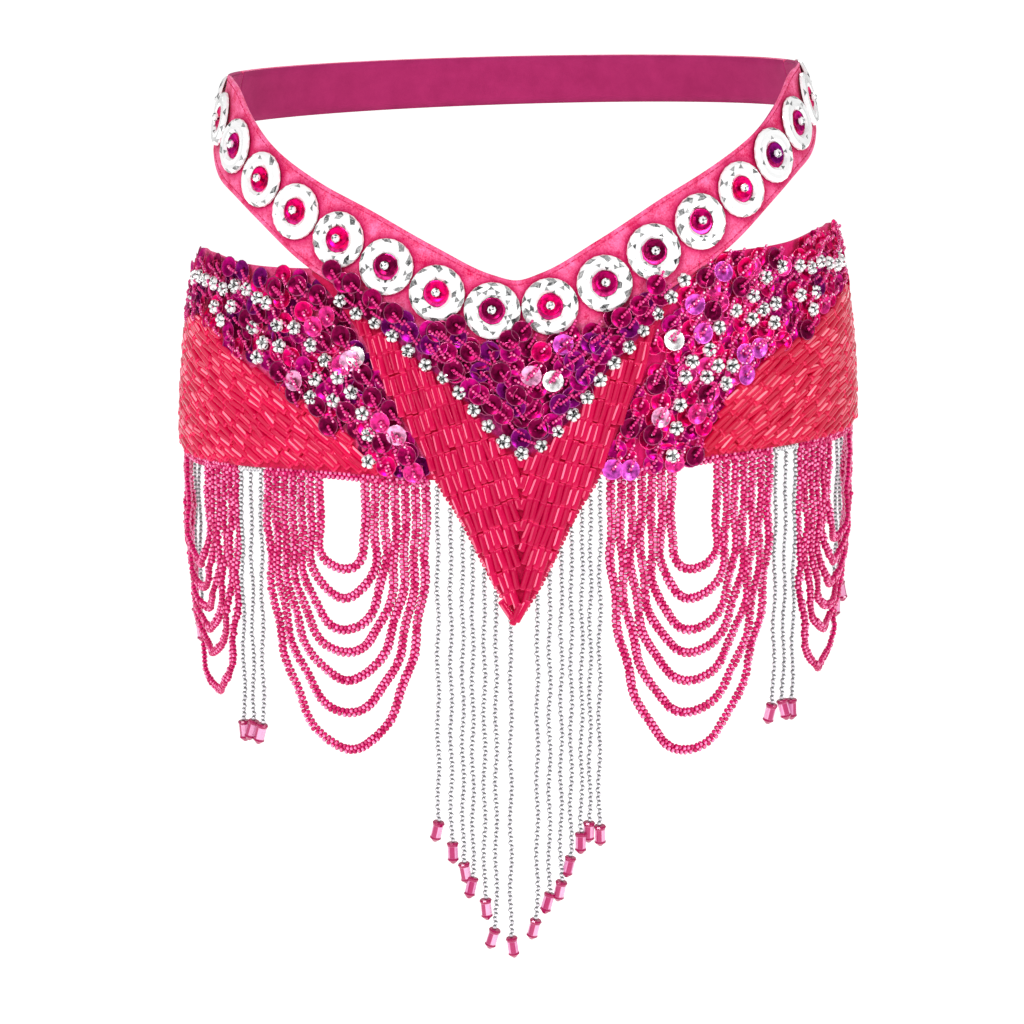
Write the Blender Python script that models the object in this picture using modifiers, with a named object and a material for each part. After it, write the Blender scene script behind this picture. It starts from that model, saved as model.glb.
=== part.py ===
"""A belly dance hip belt, worn on a general hip form, in metres, +Z up, the wearer facing -Y.

The waist ring's centre is the origin. Every cloth piece is laid out by two lengths: arc, measured round
the hips from centre front (+ to the wearer's left, which is +X), and level, above or below the waist ring.
"""
import math
from collections import namedtuple

import bmesh
import bpy
import numpy as np
from mathutils import Matrix, Vector

# Hip form: two ellipses, one at the waist ring and one at the widest hip
WAIST_HALF_WIDTH = 0.141
WAIST_HALF_DEPTH = 0.101
HIP_HALF_WIDTH = 0.166
HIP_HALF_DEPTH = 0.116
HIP_DROP = 0.160
HIP_SHIFT = 0.002
HIP_TILT = math.radians(2.3)
BAND_TILT = math.radians(1.25)
TILT_EASES_FROM = -0.030

# Cloth
CLOTH = 0.0020
ELASTIC = 0.0015
SEAM = 0.0003
LAYER_GAP = 0.00035
INNER_LAYER = 0.0
OUTER_LAYER = INNER_LAYER + CLOTH + LAYER_GAP
V_LAP = 0.008
V_LEAN = 0.0038
V_LEAN_STARTS = -0.165
V_LEAN_FULL = -0.105
FALL_AT_SEAM = 0.0006

# Columns and rows of each cloth grid
Grid = namedtuple("Grid", "columns rows")
STRAP_GRID = Grid(80, 4)
V_GRID = Grid(34, 8)
SIDE_GRID = Grid(34, 8)
RING_GRID = Grid(42, 2)
V_STRIP_GRID = Grid(24, 1)
SWAG_STRIP_GRID = Grid(16, 1)
TASSEL_STRIP_GRID = Grid(3, 1)

# Bead strands
SEED_BEAD = 0.0022
CLEAR_BEAD = 0.0018
END_BEAD_WIDTH = 0.0055
END_BEAD_LENGTH = 0.0105
END_BEAD_SHOULDER = 0.0013
END_BEAD_MOUTH = 0.0038
END_BEAD_NECK = 0.0004
ROOT_STRIP = 0.0026
ROOT_STRIP_HEIGHT = 0.0020
ROOT_MARGIN = 0.0014
V_STRIP_HEIGHT = 0.0050
V_FRINGE_REACH = 0.0405
BOWL_STEPS = 14

# Discs
DISC_RADIUS = 0.0135
FIRST_DISC = 0.0139
DISC_PITCH = 0.0280
DISC_SHIFT = 0.0018
DISCS_A_SIDE = 9
DISC_SIDES = 18

# Half the section of a disc, from the bead's crown over the cup and the ring to the back
Turned = namedtuple("Turned", "radius height")
DISC_PROFILE = [
    Turned(0.0000, 0.0044),
    Turned(0.0018, 0.0036),
    Turned(0.0024, 0.0014),
    Turned(0.0056, 0.0010),
    Turned(0.0066, 0.0024),
    Turned(0.0100, 0.0027),
    Turned(DISC_RADIUS, 0.0012),
    Turned(DISC_RADIUS, 0.0000),
    Turned(0.0000, 0.0000),
]

# Seams round the ring, as arcs from centre front
STRAP_END = 0.250
SIDE_PANEL_END = 0.262
V_CORNER = 0.101
V_CORNER_HEIGHT = 0.0012
BAND_TOP = 0.0175
BAND_BOTTOM = -0.0075
ELASTIC_TOP = -0.126
ELASTIC_BOTTOM = -0.158

StrapEdge = namedtuple("StrapEdge", "arc top bottom")
STRAP = [
    StrapEdge(0.000, -0.0745, -0.1080),
    StrapEdge(0.012, -0.0715, -0.1055),
    StrapEdge(0.040, -0.0580, -0.1005),
    StrapEdge(0.076, -0.0400, -0.0825),
    StrapEdge(0.106, -0.0275, -0.0680),
    StrapEdge(0.145, -0.0095, -0.0450),
    StrapEdge(0.165, 0.0020, -0.0355),
    StrapEdge(0.185, 0.0130, -0.0285),
    StrapEdge(0.205, 0.0172, -0.0200),
    StrapEdge(0.228, 0.0175, -0.0115),
    StrapEdge(0.250, 0.0175, -0.0075),
]

VEdge = namedtuple("VEdge", "arc level")
V_EDGE = [
    VEdge(0.0000, -0.2360),
    VEdge(0.0090, -0.2220),
    VEdge(0.0180, -0.2040),
    VEdge(0.0265, -0.1870),
    VEdge(0.0370, -0.1700),
    VEdge(0.0430, -0.1570),
    VEdge(0.0540, -0.1360),
    VEdge(0.0630, -0.1180),
    VEdge(0.0690, -0.1040),
    VEdge(0.0770, -0.0930),
    VEdge(0.0880, -0.0810),
    VEdge(0.1010, -0.0705),
]

SideEdge = namedtuple("SideEdge", "arc top hem")
SIDE_PANEL = [
    SideEdge(0.030, -0.0680, -0.1690),
    SideEdge(0.060, -0.0680, -0.1670),
    SideEdge(0.090, -0.0680, -0.1650),
    SideEdge(0.150, -0.0675, -0.1650),
    SideEdge(0.190, -0.0640, -0.1650),
    SideEdge(0.208, -0.0650, -0.1640),
    SideEdge(0.224, -0.0800, -0.1620),
    SideEdge(0.240, -0.1020, -0.1600),
    SideEdge(0.262, -0.1260, -0.1580),
]

# Nested loops of one swag: half the distance between the roots, the lowest level, and the bowl's height
Loop = namedtuple("Loop", "half_span lowest bowl")
FRONT_SWAG_MIDDLE = 0.086
FRONT_SWAG = [
    Loop(0.012, -0.2155, 0.013),
    Loop(0.017, -0.2300, 0.024),
    Loop(0.022, -0.2455, 0.040),
    Loop(0.027, -0.2570, 0.052),
    Loop(0.032, -0.2710, 0.070),
    Loop(0.037, -0.2870, 0.090),
    Loop(0.042, -0.3060, 0.115),
]
SIDE_SWAG_MIDDLE = 0.192
SIDE_SWAG = [
    Loop(0.018, -0.2200, 0.022),
    Loop(0.023, -0.2320, 0.032),
    Loop(0.028, -0.2430, 0.042),
    Loop(0.033, -0.2540, 0.052),
    Loop(0.038, -0.2660, 0.064),
    Loop(0.043, -0.2860, 0.082),
]

# Straight strands: where each is sewn, and the level of its end bead's middle
Strand = namedtuple("Strand", "arc bead_level")
FRONT_FRINGE = [
    Strand(-0.0380, -0.342),
    Strand(-0.0318, -0.352),
    Strand(-0.0262, -0.362),
    Strand(-0.0215, -0.369),
    Strand(-0.0160, -0.380),
    Strand(-0.0105, -0.395),
    Strand(-0.0035, -0.399),
    Strand(0.0090, -0.390),
    Strand(0.0148, -0.377),
    Strand(0.0203, -0.371),
    Strand(0.0250, -0.359),
    Strand(0.0300, -0.347),
    Strand(0.0340, -0.342),
    Strand(0.0385, -0.344),
]
SIDE_TASSEL = [Strand(0.1325, -0.298), Strand(0.1390, -0.297), Strand(0.1455, -0.298)]
REAR_TASSEL = [Strand(0.2420, -0.258), Strand(0.2480, -0.267)]

# Colours: linear red, green and blue
Finish = namedtuple("Finish", "colour roughness metallic")
FINISHES = {
    "pink_velvet": Finish((0.80, 0.035, 0.22), 0.75, 0.0),
    "magenta_backing": Finish((0.45, 0.03, 0.15), 0.80, 0.0),
    "rose_beading": Finish((0.75, 0.02, 0.09), 0.30, 0.0),
    "silver_disc": Finish((0.90, 0.90, 0.92), 0.15, 1.0),
    "pink_seed_beads": Finish((0.75, 0.04, 0.20), 0.20, 0.0),
    "clear_beads": Finish((0.85, 0.86, 0.88), 0.10, 0.0),
}

COLLECTION = "belly_dance_hip_belt"
TOOL_COLLECTION = "joining_tools"

# Accuracy of the sums and of the merged points
RING_SAMPLES = 2881
NORMAL_STEP = 0.0005
WALK_STEP = 0.0002
WELD_DISTANCE = 0.00001
TURN_MERGE = 0.0001


def start_empty():
    for thing in list(bpy.data.objects):
        bpy.data.objects.remove(thing, do_unlink=True)
    for name in (COLLECTION, TOOL_COLLECTION):
        bpy.context.scene.collection.children.link(bpy.data.collections.new(name))


def finish_of(name):
    material = bpy.data.materials.get(name)
    if material is None:
        finish = FINISHES[name]
        material = bpy.data.materials.new(name)
        material.use_nodes = True
        shader = material.node_tree.nodes["Principled BSDF"]
        shader.inputs["Base Color"].default_value = (*finish.colour, 1.0)
        shader.inputs["Roughness"].default_value = finish.roughness
        shader.inputs["Metallic"].default_value = finish.metallic
        material.diffuse_color = (*finish.colour, 1.0)
    return material


def add_piece(name, mesh, material):
    mesh.materials.append(finish_of(material))
    piece = bpy.data.objects.new(name, mesh)
    bpy.data.collections[COLLECTION].objects.link(piece)
    return piece


# ---- the hip form -------------------------------------------------------------------------------------

TURNS = np.linspace(0.0, 2.0 * math.pi, RING_SAMPLES)
STRIDES = np.hypot(HIP_HALF_WIDTH * np.cos(TURNS), HIP_HALF_DEPTH * np.sin(TURNS))
ARCS = np.concatenate([[0.0], np.cumsum((STRIDES[1:] + STRIDES[:-1]) / 2.0 * np.diff(TURNS))])
WHOLE_RING = float(ARCS[-1])


def turn_at(arc):
    """The angle round the hips, from centre front, at an arc measured on the widest ring."""
    return math.copysign(float(np.interp(abs(arc), ARCS, TURNS)), arc)


def tilt_rise(x, level=TILT_EASES_FROM):
    """How far the raised hip lifts the belt at x. The tilt eases off towards the waist ring's top."""
    ease = min(max((level - TILT_EASES_FROM) / (BAND_TOP - TILT_EASES_FROM), 0.0), 1.0)
    return x * math.tan(HIP_TILT + (BAND_TILT - HIP_TILT) * ease)


def hip_point(arc, level, out=0.0):
    """A point on the hip form, moved outwards by out."""
    turn = turn_at(arc)
    swell = math.sin(math.pi / 2.0 * min(-level / HIP_DROP, 1.0))
    half_width = WAIST_HALF_WIDTH + (HIP_HALF_WIDTH - WAIST_HALF_WIDTH) * swell
    half_depth = WAIST_HALF_DEPTH + (HIP_HALF_DEPTH - WAIST_HALF_DEPTH) * swell
    outward = Vector((math.sin(turn) / half_width, -math.cos(turn) / half_depth, 0.0)).normalized()
    x = half_width * math.sin(turn) + out * outward.x
    y = -half_depth * math.cos(turn) + out * outward.y
    return Vector((x + HIP_SHIFT * swell, y, level + tilt_rise(x, level)))


def hip_normal(arc, level):
    """The outward normal of the hip form."""
    across = hip_point(arc + NORMAL_STEP, level) - hip_point(arc - NORMAL_STEP, level)
    up = hip_point(arc, level + NORMAL_STEP) - hip_point(arc, level - NORMAL_STEP)
    return across.cross(up).normalized()


def read_along(rows, column, arc, level_start=False):
    """A column's value at an arc, on a smooth curve through the table's rows."""
    places = np.array([row.arc for row in rows])
    values = np.array([getattr(row, column) for row in rows])
    slopes = np.gradient(values, places)
    if level_start:
        slopes[0] = 0.0
    arc = min(max(abs(arc), places[0]), places[-1])
    i = min(int(np.searchsorted(places, arc, side="right")) - 1, len(places) - 2)
    span = places[i + 1] - places[i]
    t = (arc - places[i]) / span
    start = values[i] * (1 + 2 * t) * (1 - t) ** 2 + slopes[i] * span * t * (1 - t) ** 2
    end = values[i + 1] * t * t * (3 - 2 * t) - slopes[i + 1] * span * t * t * (1 - t)
    return float(start + end)


def strap_top(arc):
    return read_along(STRAP, "top", arc, level_start=True)


def strap_bottom(arc):
    return read_along(STRAP, "bottom", arc, level_start=True)


def v_edge(arc):
    return read_along(V_EDGE, "level", arc)


def v_edge_arc(level):
    """The arc at which the V panel's edge reaches a level."""
    levels = [row.level for row in V_EDGE]
    arcs = [row.arc for row in V_EDGE]
    return float(np.interp(level, levels, arcs))


def v_lean(level):
    """How far the V panel's upper part is drawn to the wearer's right."""
    return V_LEAN * min(max((level - V_LEAN_STARTS) / (V_LEAN_FULL - V_LEAN_STARTS), 0.0), 1.0)


def side_hem(arc):
    return read_along(SIDE_PANEL, "hem", arc)


# ---- cloth --------------------------------------------------------------------------------------------

def cloth(name, grid, place, thickness, material):
    """A piece of cloth: a grid laid out by place(across, up), both 0 to 1, with its wall grown outwards."""
    sheet = bmesh.new()
    bmesh.ops.create_grid(sheet, x_segments=grid.columns, y_segments=grid.rows, size=0.5)
    for corner in sheet.verts:
        corner.co = place(corner.co.x + 0.5, corner.co.y + 0.5)
    mesh = bpy.data.meshes.new(name)
    sheet.to_mesh(mesh)
    sheet.free()
    mesh.shade_smooth()
    piece = add_piece(name, mesh, material)
    wall = piece.modifiers.new("wall", "SOLIDIFY")
    wall.thickness = thickness
    wall.offset = 1.0
    wall.use_even_offset = True
    return piece


def between(low, high, share):
    return low + (high - low) * share


def front_strap():
    def place(across, up):
        arc = between(-STRAP_END, STRAP_END, across)
        return hip_point(arc, between(strap_bottom(arc), strap_top(arc), up), OUTER_LAYER)

    cloth("front_strap", STRAP_GRID, place, CLOTH, "pink_velvet")


def front_v_panel():
    def place(across, up):
        arc = between(-V_CORNER, V_CORNER, across)
        top = strap_bottom(arc - v_lean(strap_bottom(arc))) - SEAM
        level = between(min(v_edge(arc), top - V_CORNER_HEIGHT), top, up)
        return hip_point(arc - v_lean(level), level, OUTER_LAYER)

    cloth("front_v_panel", V_GRID, place, CLOTH, "rose_beading")


def side_panel(name, side):
    def place(across, up):
        share = across if side > 0 else 1.0 - across
        level = between(SIDE_PANEL[0].hem, SIDE_PANEL[0].top, up)
        front = v_edge_arc(level) - side * v_lean(level) - V_LAP
        arc = between(front, SIDE_PANEL_END, share)
        top = read_along(SIDE_PANEL, "top", arc)
        return hip_point(side * arc, between(side_hem(arc), top, up), INNER_LAYER)

    cloth(name, SIDE_GRID, place, CLOTH, "rose_beading")


def ring_piece(name, end, bottom, top, layer, thickness, material):
    """A level band round the back, from one side seam to the other."""
    def place(across, up):
        arc = between(end + SEAM, WHOLE_RING - end - SEAM, across)
        return hip_point(arc, between(bottom, top, up), layer)

    cloth(name, RING_GRID, place, thickness, material)


# ---- bead strands -------------------------------------------------------------------------------------

def strands_tool(name, strands):
    """A hidden mesh of four-sided strands. Each strand is a list of (point, radius)."""
    wires = bpy.data.curves.new(name, "CURVE")
    wires.dimensions = "3D"
    wires.bevel_depth = 1.0
    wires.bevel_resolution = 0
    wires.use_fill_caps = True
    for strand in strands:
        wire = wires.splines.new("POLY")
        wire.points.add(len(strand) - 1)
        for knot, (point, radius) in zip(wire.points, strand):
            knot.co = (*point, 1.0)
            knot.radius = radius
    wires_object = bpy.data.objects.new(name, wires)
    bpy.data.collections[TOOL_COLLECTION].objects.link(wires_object)
    evaluated = wires_object.evaluated_get(bpy.context.evaluated_depsgraph_get())
    mesh = bpy.data.meshes.new_from_object(evaluated)
    tool = bpy.data.objects.new(name + "_strands", mesh)
    tool.matrix_world = wires_object.matrix_world.copy()
    bpy.data.objects.remove(wires_object, do_unlink=True)
    welded = bmesh.new()
    welded.from_mesh(mesh)
    bmesh.ops.remove_doubles(welded, verts=welded.verts, dist=WELD_DISTANCE)
    welded.to_mesh(mesh)
    welded.free()
    bpy.data.collections[TOOL_COLLECTION].objects.link(tool)
    tool.hide_render = True
    tool.display_type = "WIRE"
    return tool


def fringe(name, grid, start, end, strip_top, height, layer, strands, material):
    """A narrow root strip just below a cloth edge, joined to the strands that are sewn to it."""
    def place(across, up):
        arc = between(start, end, across)
        return hip_point(arc, strip_top(arc) - height * (1.0 - up), layer)

    strip = cloth(name, grid, place, ROOT_STRIP, material)
    joining = strip.modifiers.new("strands", "BOOLEAN")
    joining.operation = "UNION"
    joining.solver = "EXACT"
    joining.object = strands_tool(name, strands)


def bead_strand(root, bead_middle):
    """A straight strand of clear beads that ends in one long bead."""
    top = bead_middle + END_BEAD_LENGTH / 2
    bottom = bead_middle - END_BEAD_LENGTH / 2
    levels_and_widths = [
        (root.z, CLEAR_BEAD),
        (top + END_BEAD_NECK, CLEAR_BEAD),
        (top, END_BEAD_MOUTH),
        (top - END_BEAD_SHOULDER, END_BEAD_WIDTH),
        (bottom + END_BEAD_SHOULDER, END_BEAD_WIDTH),
        (bottom, END_BEAD_MOUTH),
    ]
    return [(Vector((root.x, root.y, level)), width / 2) for level, width in levels_and_widths]


def swag_loop(start, end, lowest, bowl):
    """One loop from root to root: two straight arms and a bowl that is half an ellipse."""
    middle = (start + end) / 2
    half = (end - start) / 2
    points = [start]
    for step in range(BOWL_STEPS + 1):
        swing = math.pi * step / BOWL_STEPS
        point = middle - half * math.cos(swing)
        point.z = lowest + bowl * (1.0 - math.sin(swing))
        points.append(point)
    points.append(end)
    return [(point, SEED_BEAD / 2) for point in points]


def front_fringe():
    """Clear strands along both lower edges of the V panel."""
    def strip_top(arc):
        return v_edge(arc) - FALL_AT_SEAM

    strands = []
    layer = OUTER_LAYER - (ROOT_STRIP - CLOTH) / 2
    for strand in FRONT_FRINGE:
        root = hip_point(strand.arc, strip_top(strand.arc) - V_STRIP_HEIGHT / 2, layer + ROOT_STRIP / 2)
        strands.append(bead_strand(root, strand.bead_level))
    fringe("front_fringe", V_STRIP_GRID, -V_FRINGE_REACH, V_FRINGE_REACH, strip_top, V_STRIP_HEIGHT, layer,
           strands, "clear_beads")


def hem_strip_top(arc):
    return side_hem(arc) - SEAM


def hem_root(arc):
    """Where a strand starts, in the middle of the strip below the side panel's hem."""
    return hip_point(arc, hem_strip_top(arc) - ROOT_STRIP_HEIGHT / 2, INNER_LAYER + CLOTH / 2)


def hem_fringe(name, grid, start, end, strands, material):
    layer = INNER_LAYER - (ROOT_STRIP - CLOTH) / 2
    low = min(start, end)
    high = max(start, end)
    fringe(name, grid, low, high, hem_strip_top, ROOT_STRIP_HEIGHT, layer, strands, material)


def swag(name, side, middle, loops, tilts):
    """Nested bead loops below a side panel. A swag that tilts has its bowls lifted with the hip."""
    strands = []
    for loop in loops:
        start = hem_root(side * middle - loop.half_span)
        end = hem_root(side * middle + loop.half_span)
        rise = tilt_rise((start.x + end.x) / 2) if tilts else 0.0
        strands.append(swag_loop(start, end, loop.lowest + rise, loop.bowl))
    reach = loops[-1].half_span + ROOT_MARGIN
    start = side * middle - reach
    end = side * middle + reach
    hem_fringe(name, SWAG_STRIP_GRID, start, end, strands, "pink_seed_beads")


def tassel(name, side, rows):
    """A few clear strands below a side panel's hem."""
    strands = []
    for row in rows:
        root = hem_root(side * row.arc)
        strands.append(bead_strand(root, row.bead_level + tilt_rise(root.x)))
    start = side * (rows[0].arc - ROOT_MARGIN)
    end = side * (rows[-1].arc + ROOT_MARGIN)
    hem_fringe(name, TASSEL_STRIP_GRID, start, end, strands, "clear_beads")


# ---- discs --------------------------------------------------------------------------------------------

def disc_mesh():
    """One mesh for all the discs: the profile as a line in the XZ plane, turned by a Screw modifier."""
    profile = bmesh.new()
    corners = [profile.verts.new((turned.radius, 0.0, turned.height)) for turned in DISC_PROFILE]
    for first, second in zip(corners, corners[1:]):
        profile.edges.new((first, second))
    mesh = bpy.data.meshes.new("disc")
    profile.to_mesh(mesh)
    profile.free()
    mesh.materials.append(finish_of("silver_disc"))
    return mesh


def disc_arcs():
    """Arcs of the discs' middles, a pitch apart along the strap's middle line."""
    def middle(arc):
        return hip_point(arc, (strap_top(arc) + strap_bottom(arc)) / 2, OUTER_LAYER + CLOTH)

    arcs = []
    walked = DISC_PITCH - FIRST_DISC
    arc = 0.0
    while len(arcs) < DISCS_A_SIDE:
        walked += (middle(arc + WALK_STEP) - middle(arc)).length
        arc += WALK_STEP
        if walked >= DISC_PITCH:
            walked -= DISC_PITCH
            arcs.append(arc)
    return arcs


def discs():
    mesh = disc_mesh()
    for side, word in ((-1, "right"), (1, "left")):
        for number, arc in enumerate(disc_arcs(), start=1):
            place = side * arc + DISC_SHIFT
            level = (strap_top(place) + strap_bottom(place)) / 2
            facing = hip_normal(place, level)
            seat = hip_point(place, level, OUTER_LAYER) + facing * (CLOTH + SEAM)
            disc = bpy.data.objects.new(f"disc_{word}_{number}", mesh)
            bpy.data.collections[COLLECTION].objects.link(disc)
            disc.matrix_world = Matrix.Translation(seat) @ facing.to_track_quat("Z", "Y").to_matrix().to_4x4()
            turned = disc.modifiers.new("turned", "SCREW")
            turned.axis = "Z"
            turned.steps = DISC_SIDES
            turned.render_steps = DISC_SIDES
            turned.use_merge_vertices = True
            turned.merge_threshold = TURN_MERGE


def main():
    start_empty()
    front_strap()
    front_v_panel()
    side_panel("side_panel_left", 1)
    side_panel("side_panel_right", -1)
    ring_piece("back_band", STRAP_END, BAND_BOTTOM, BAND_TOP, OUTER_LAYER, CLOTH, "magenta_backing")
    ring_piece("hip_elastic", SIDE_PANEL_END, ELASTIC_BOTTOM, ELASTIC_TOP, INNER_LAYER, ELASTIC,
               "magenta_backing")
    front_fringe()
    for side, word in ((-1, "right"), (1, "left")):
        swag(f"front_swag_{word}", side, FRONT_SWAG_MIDDLE, FRONT_SWAG, tilts=False)
        swag(f"side_swag_{word}", side, SIDE_SWAG_MIDDLE, SIDE_SWAG, tilts=True)
        tassel(f"side_tassel_{word}", side, SIDE_TASSEL)
        tassel(f"rear_tassel_{word}", side, REAR_TASSEL)
    discs()


main()
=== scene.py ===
# %% [markdown]
# # Dressing a belly dance hip belt
# The belt is a velvet strap set with faceted discs, a pointed beaded panel at the front, a beaded panel on
# each hip and a fringe of bead strands. The imported model already holds every piece at its real size. This
# lesson gives each piece its cloth, beads and sequins, and leaves every place and size as it is.

# %% Load the imported model
import math
import random
from collections import namedtuple
from itertools import islice, takewhile

import bmesh
import bpy
import numpy as np
from mathutils import Matrix, Vector


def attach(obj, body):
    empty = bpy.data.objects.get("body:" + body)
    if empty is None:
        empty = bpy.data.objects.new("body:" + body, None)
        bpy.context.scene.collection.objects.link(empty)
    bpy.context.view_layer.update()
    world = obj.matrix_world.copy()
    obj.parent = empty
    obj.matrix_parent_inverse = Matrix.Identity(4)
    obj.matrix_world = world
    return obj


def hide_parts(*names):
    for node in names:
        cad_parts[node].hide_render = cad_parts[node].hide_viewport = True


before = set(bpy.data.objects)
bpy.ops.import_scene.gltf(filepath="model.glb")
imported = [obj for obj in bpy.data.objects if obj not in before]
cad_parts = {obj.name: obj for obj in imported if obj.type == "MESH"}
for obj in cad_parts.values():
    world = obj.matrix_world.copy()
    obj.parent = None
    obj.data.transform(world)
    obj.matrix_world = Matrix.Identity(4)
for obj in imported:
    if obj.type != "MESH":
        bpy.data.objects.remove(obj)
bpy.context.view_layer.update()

print("nodes in the frame:", len(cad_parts))

# %% [markdown]
# ## The hip form
# A hip belt has no flat pieces. Everything on it lies round a form with two ellipses, one at the waist and
# one at the widest hip. Each place is given by two lengths: arc, measured round the hips from centre front
# (plus to the wearer's left), and level, above or below the waist ring. One function turns the two into a
# point, so cloth, beads and strands all sit on the same form.

# %% Sizes of the hip form and the cloth
WAIST_HALF_WIDTH = 0.141
WAIST_HALF_DEPTH = 0.101
HIP_HALF_WIDTH = 0.166
HIP_HALF_DEPTH = 0.116
HIP_DROP = 0.160
HIP_SHIFT = 0.002
HIP_TILT = math.radians(2.3)
BAND_TILT = math.radians(1.25)
TILT_EASES_FROM = -0.030
CLOTH = 0.0020
ELASTIC = 0.0015
SEAM = 0.0003
INNER_LAYER = 0.0
OUTER_LAYER = CLOTH + 0.00035
V_LAP = 0.008
V_LEAN = 0.0038
V_LEAN_STARTS = -0.165
V_LEAN_FULL = -0.105
STRAP_END = 0.250
SIDE_PANEL_END = 0.262
V_CORNER = 0.101
V_CORNER_HEIGHT = 0.0012
BAND_TOP = 0.0175
BAND_BOTTOM = -0.0075
ELASTIC_TOP = -0.126
ELASTIC_BOTTOM = -0.158

# %% A point on the hip form
RING_STEPS = 2880
TURNS = np.linspace(0.0, 2.0 * math.pi, RING_STEPS + 1)
STRIDES = np.hypot(HIP_HALF_WIDTH * np.cos(TURNS), HIP_HALF_DEPTH * np.sin(TURNS))
ARCS = np.concatenate([[0.0], np.cumsum((STRIDES[1:] + STRIDES[:-1]) / 2.0 * np.diff(TURNS))])
WHOLE_RING = float(ARCS[-1])


def between(low, high, share):
    return low + (high - low) * share


def steps_between(low, high, count):
    return [between(low, high, step / count) for step in range(count + 1)]


def turn_at(arc):
    return math.copysign(float(np.interp(abs(arc), ARCS, TURNS)), arc)


def tilt_rise(x, level=TILT_EASES_FROM):
    ease = min(max((level - TILT_EASES_FROM) / (BAND_TOP - TILT_EASES_FROM), 0.0), 1.0)
    return x * math.tan(HIP_TILT + (BAND_TILT - HIP_TILT) * ease)


def hip_point(arc, level, out=0.0):
    """A point on the hip form, moved outwards by out."""
    turn = turn_at(arc)
    swell = math.sin(math.pi / 2.0 * min(-level / HIP_DROP, 1.0))
    half_width = between(WAIST_HALF_WIDTH, HIP_HALF_WIDTH, swell)
    half_depth = between(WAIST_HALF_DEPTH, HIP_HALF_DEPTH, swell)
    outward = Vector((math.sin(turn) / half_width, -math.cos(turn) / half_depth, 0.0)).normalized()
    x = half_width * math.sin(turn) + out * outward.x
    y = -half_depth * math.cos(turn) + out * outward.y
    return Vector((x + HIP_SHIFT * swell, y, level + tilt_rise(x, level)))


def hip_frame(arc, level):
    """The outward normal of the form, and the directions of growing arc and level."""
    step = 0.0005
    across = (hip_point(arc + step, level) - hip_point(arc - step, level)).normalized()
    up = (hip_point(arc, level + step) - hip_point(arc, level - step)).normalized()
    return across.cross(up).normalized(), across, up


print("the widest ring measures", round(WHOLE_RING, 3), "m")

# %% [markdown]
# ## The cut
# Edges of cloth are smooth curves, so a few measured places are enough for each. The rows below give an
# edge's level at an arc, and a cubic curve through the rows gives every place between them.

# %% Edges of the strap, the V panel and the side panels
def table(columns, rows):
    """Rows of numbers, with a name for each column."""
    named_row = namedtuple("Row", columns)
    return [named_row(*row) for row in rows]


STRAP = table("arc top bottom", [
    (0.000, -0.0745, -0.1080), (0.012, -0.0715, -0.1055), (0.040, -0.0580, -0.1005),
    (0.076, -0.0400, -0.0825), (0.106, -0.0275, -0.0680), (0.145, -0.0095, -0.0450),
    (0.165, 0.0020, -0.0355), (0.185, 0.0130, -0.0285), (0.205, 0.0172, -0.0200),
    (0.228, 0.0175, -0.0115), (0.250, 0.0175, -0.0075)])
V_EDGE = table("arc level", [
    (0.0000, -0.2360), (0.0090, -0.2220), (0.0180, -0.2040), (0.0265, -0.1870), (0.0370, -0.1700),
    (0.0430, -0.1570), (0.0540, -0.1360), (0.0630, -0.1180), (0.0690, -0.1040), (0.0770, -0.0930),
    (0.0880, -0.0810), (0.1010, -0.0705)])
SIDE_PANEL = table("arc top hem", [
    (0.030, -0.0680, -0.1690), (0.060, -0.0680, -0.1670), (0.090, -0.0680, -0.1650),
    (0.150, -0.0675, -0.1650), (0.190, -0.0640, -0.1650), (0.208, -0.0650, -0.1640),
    (0.224, -0.0800, -0.1620), (0.240, -0.1020, -0.1600), (0.262, -0.1260, -0.1580)])


def read_along(rows, column, arc, level_start=False):
    """A column's value at an arc, on a smooth curve through the table's rows."""
    places = np.array([row.arc for row in rows])
    values = np.array([getattr(row, column) for row in rows])
    slopes = np.gradient(values, places)
    if level_start:
        slopes[0] = 0.0
    arc = min(max(arc, places[0]), places[-1])
    i = min(int(np.searchsorted(places, arc, side="right")) - 1, len(places) - 2)
    span = places[i + 1] - places[i]
    t = (arc - places[i]) / span
    start = values[i] * (1 + 2 * t) * (1 - t) ** 2 + slopes[i] * span * t * (1 - t) ** 2
    end = values[i + 1] * t * t * (3 - 2 * t) - slopes[i + 1] * span * t * t * (1 - t)
    return float(start + end)


def strap_top(arc):
    return read_along(STRAP, "top", abs(arc), level_start=True)


def strap_bottom(arc):
    return read_along(STRAP, "bottom", abs(arc), level_start=True)


def strap_middle(arc):
    return (strap_top(arc) + strap_bottom(arc)) / 2


def v_edge(arc):
    return read_along(V_EDGE, "level", abs(arc))


def v_edge_arc(level):
    return float(np.interp(level, [row.level for row in V_EDGE], [row.arc for row in V_EDGE]))


def v_lean(level):
    """How far the V panel's upper part is drawn to the wearer's right."""
    return V_LEAN * min(max((level - V_LEAN_STARTS) / (V_LEAN_FULL - V_LEAN_STARTS), 0.0), 1.0)


def v_top(arc):
    return strap_bottom(arc - v_lean(strap_bottom(arc))) - SEAM


def side_top(arc):
    return read_along(SIDE_PANEL, "top", abs(arc))


def side_hem(arc):
    return read_along(SIDE_PANEL, "hem", abs(arc))


def side_front(side, level):
    """The arc, from centre front, at which the V panel's edge crosses a side panel."""
    return v_edge_arc(level) - side * v_lean(level)


# %% [markdown]
# ## Where sequins end and bugle beads begin
# A maker draws these lines on the cloth with chalk. On the V panel, a line of silver flowers follows the
# border. On each side panel the border climbs from the V panel's edge to the back of the hip.

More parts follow.
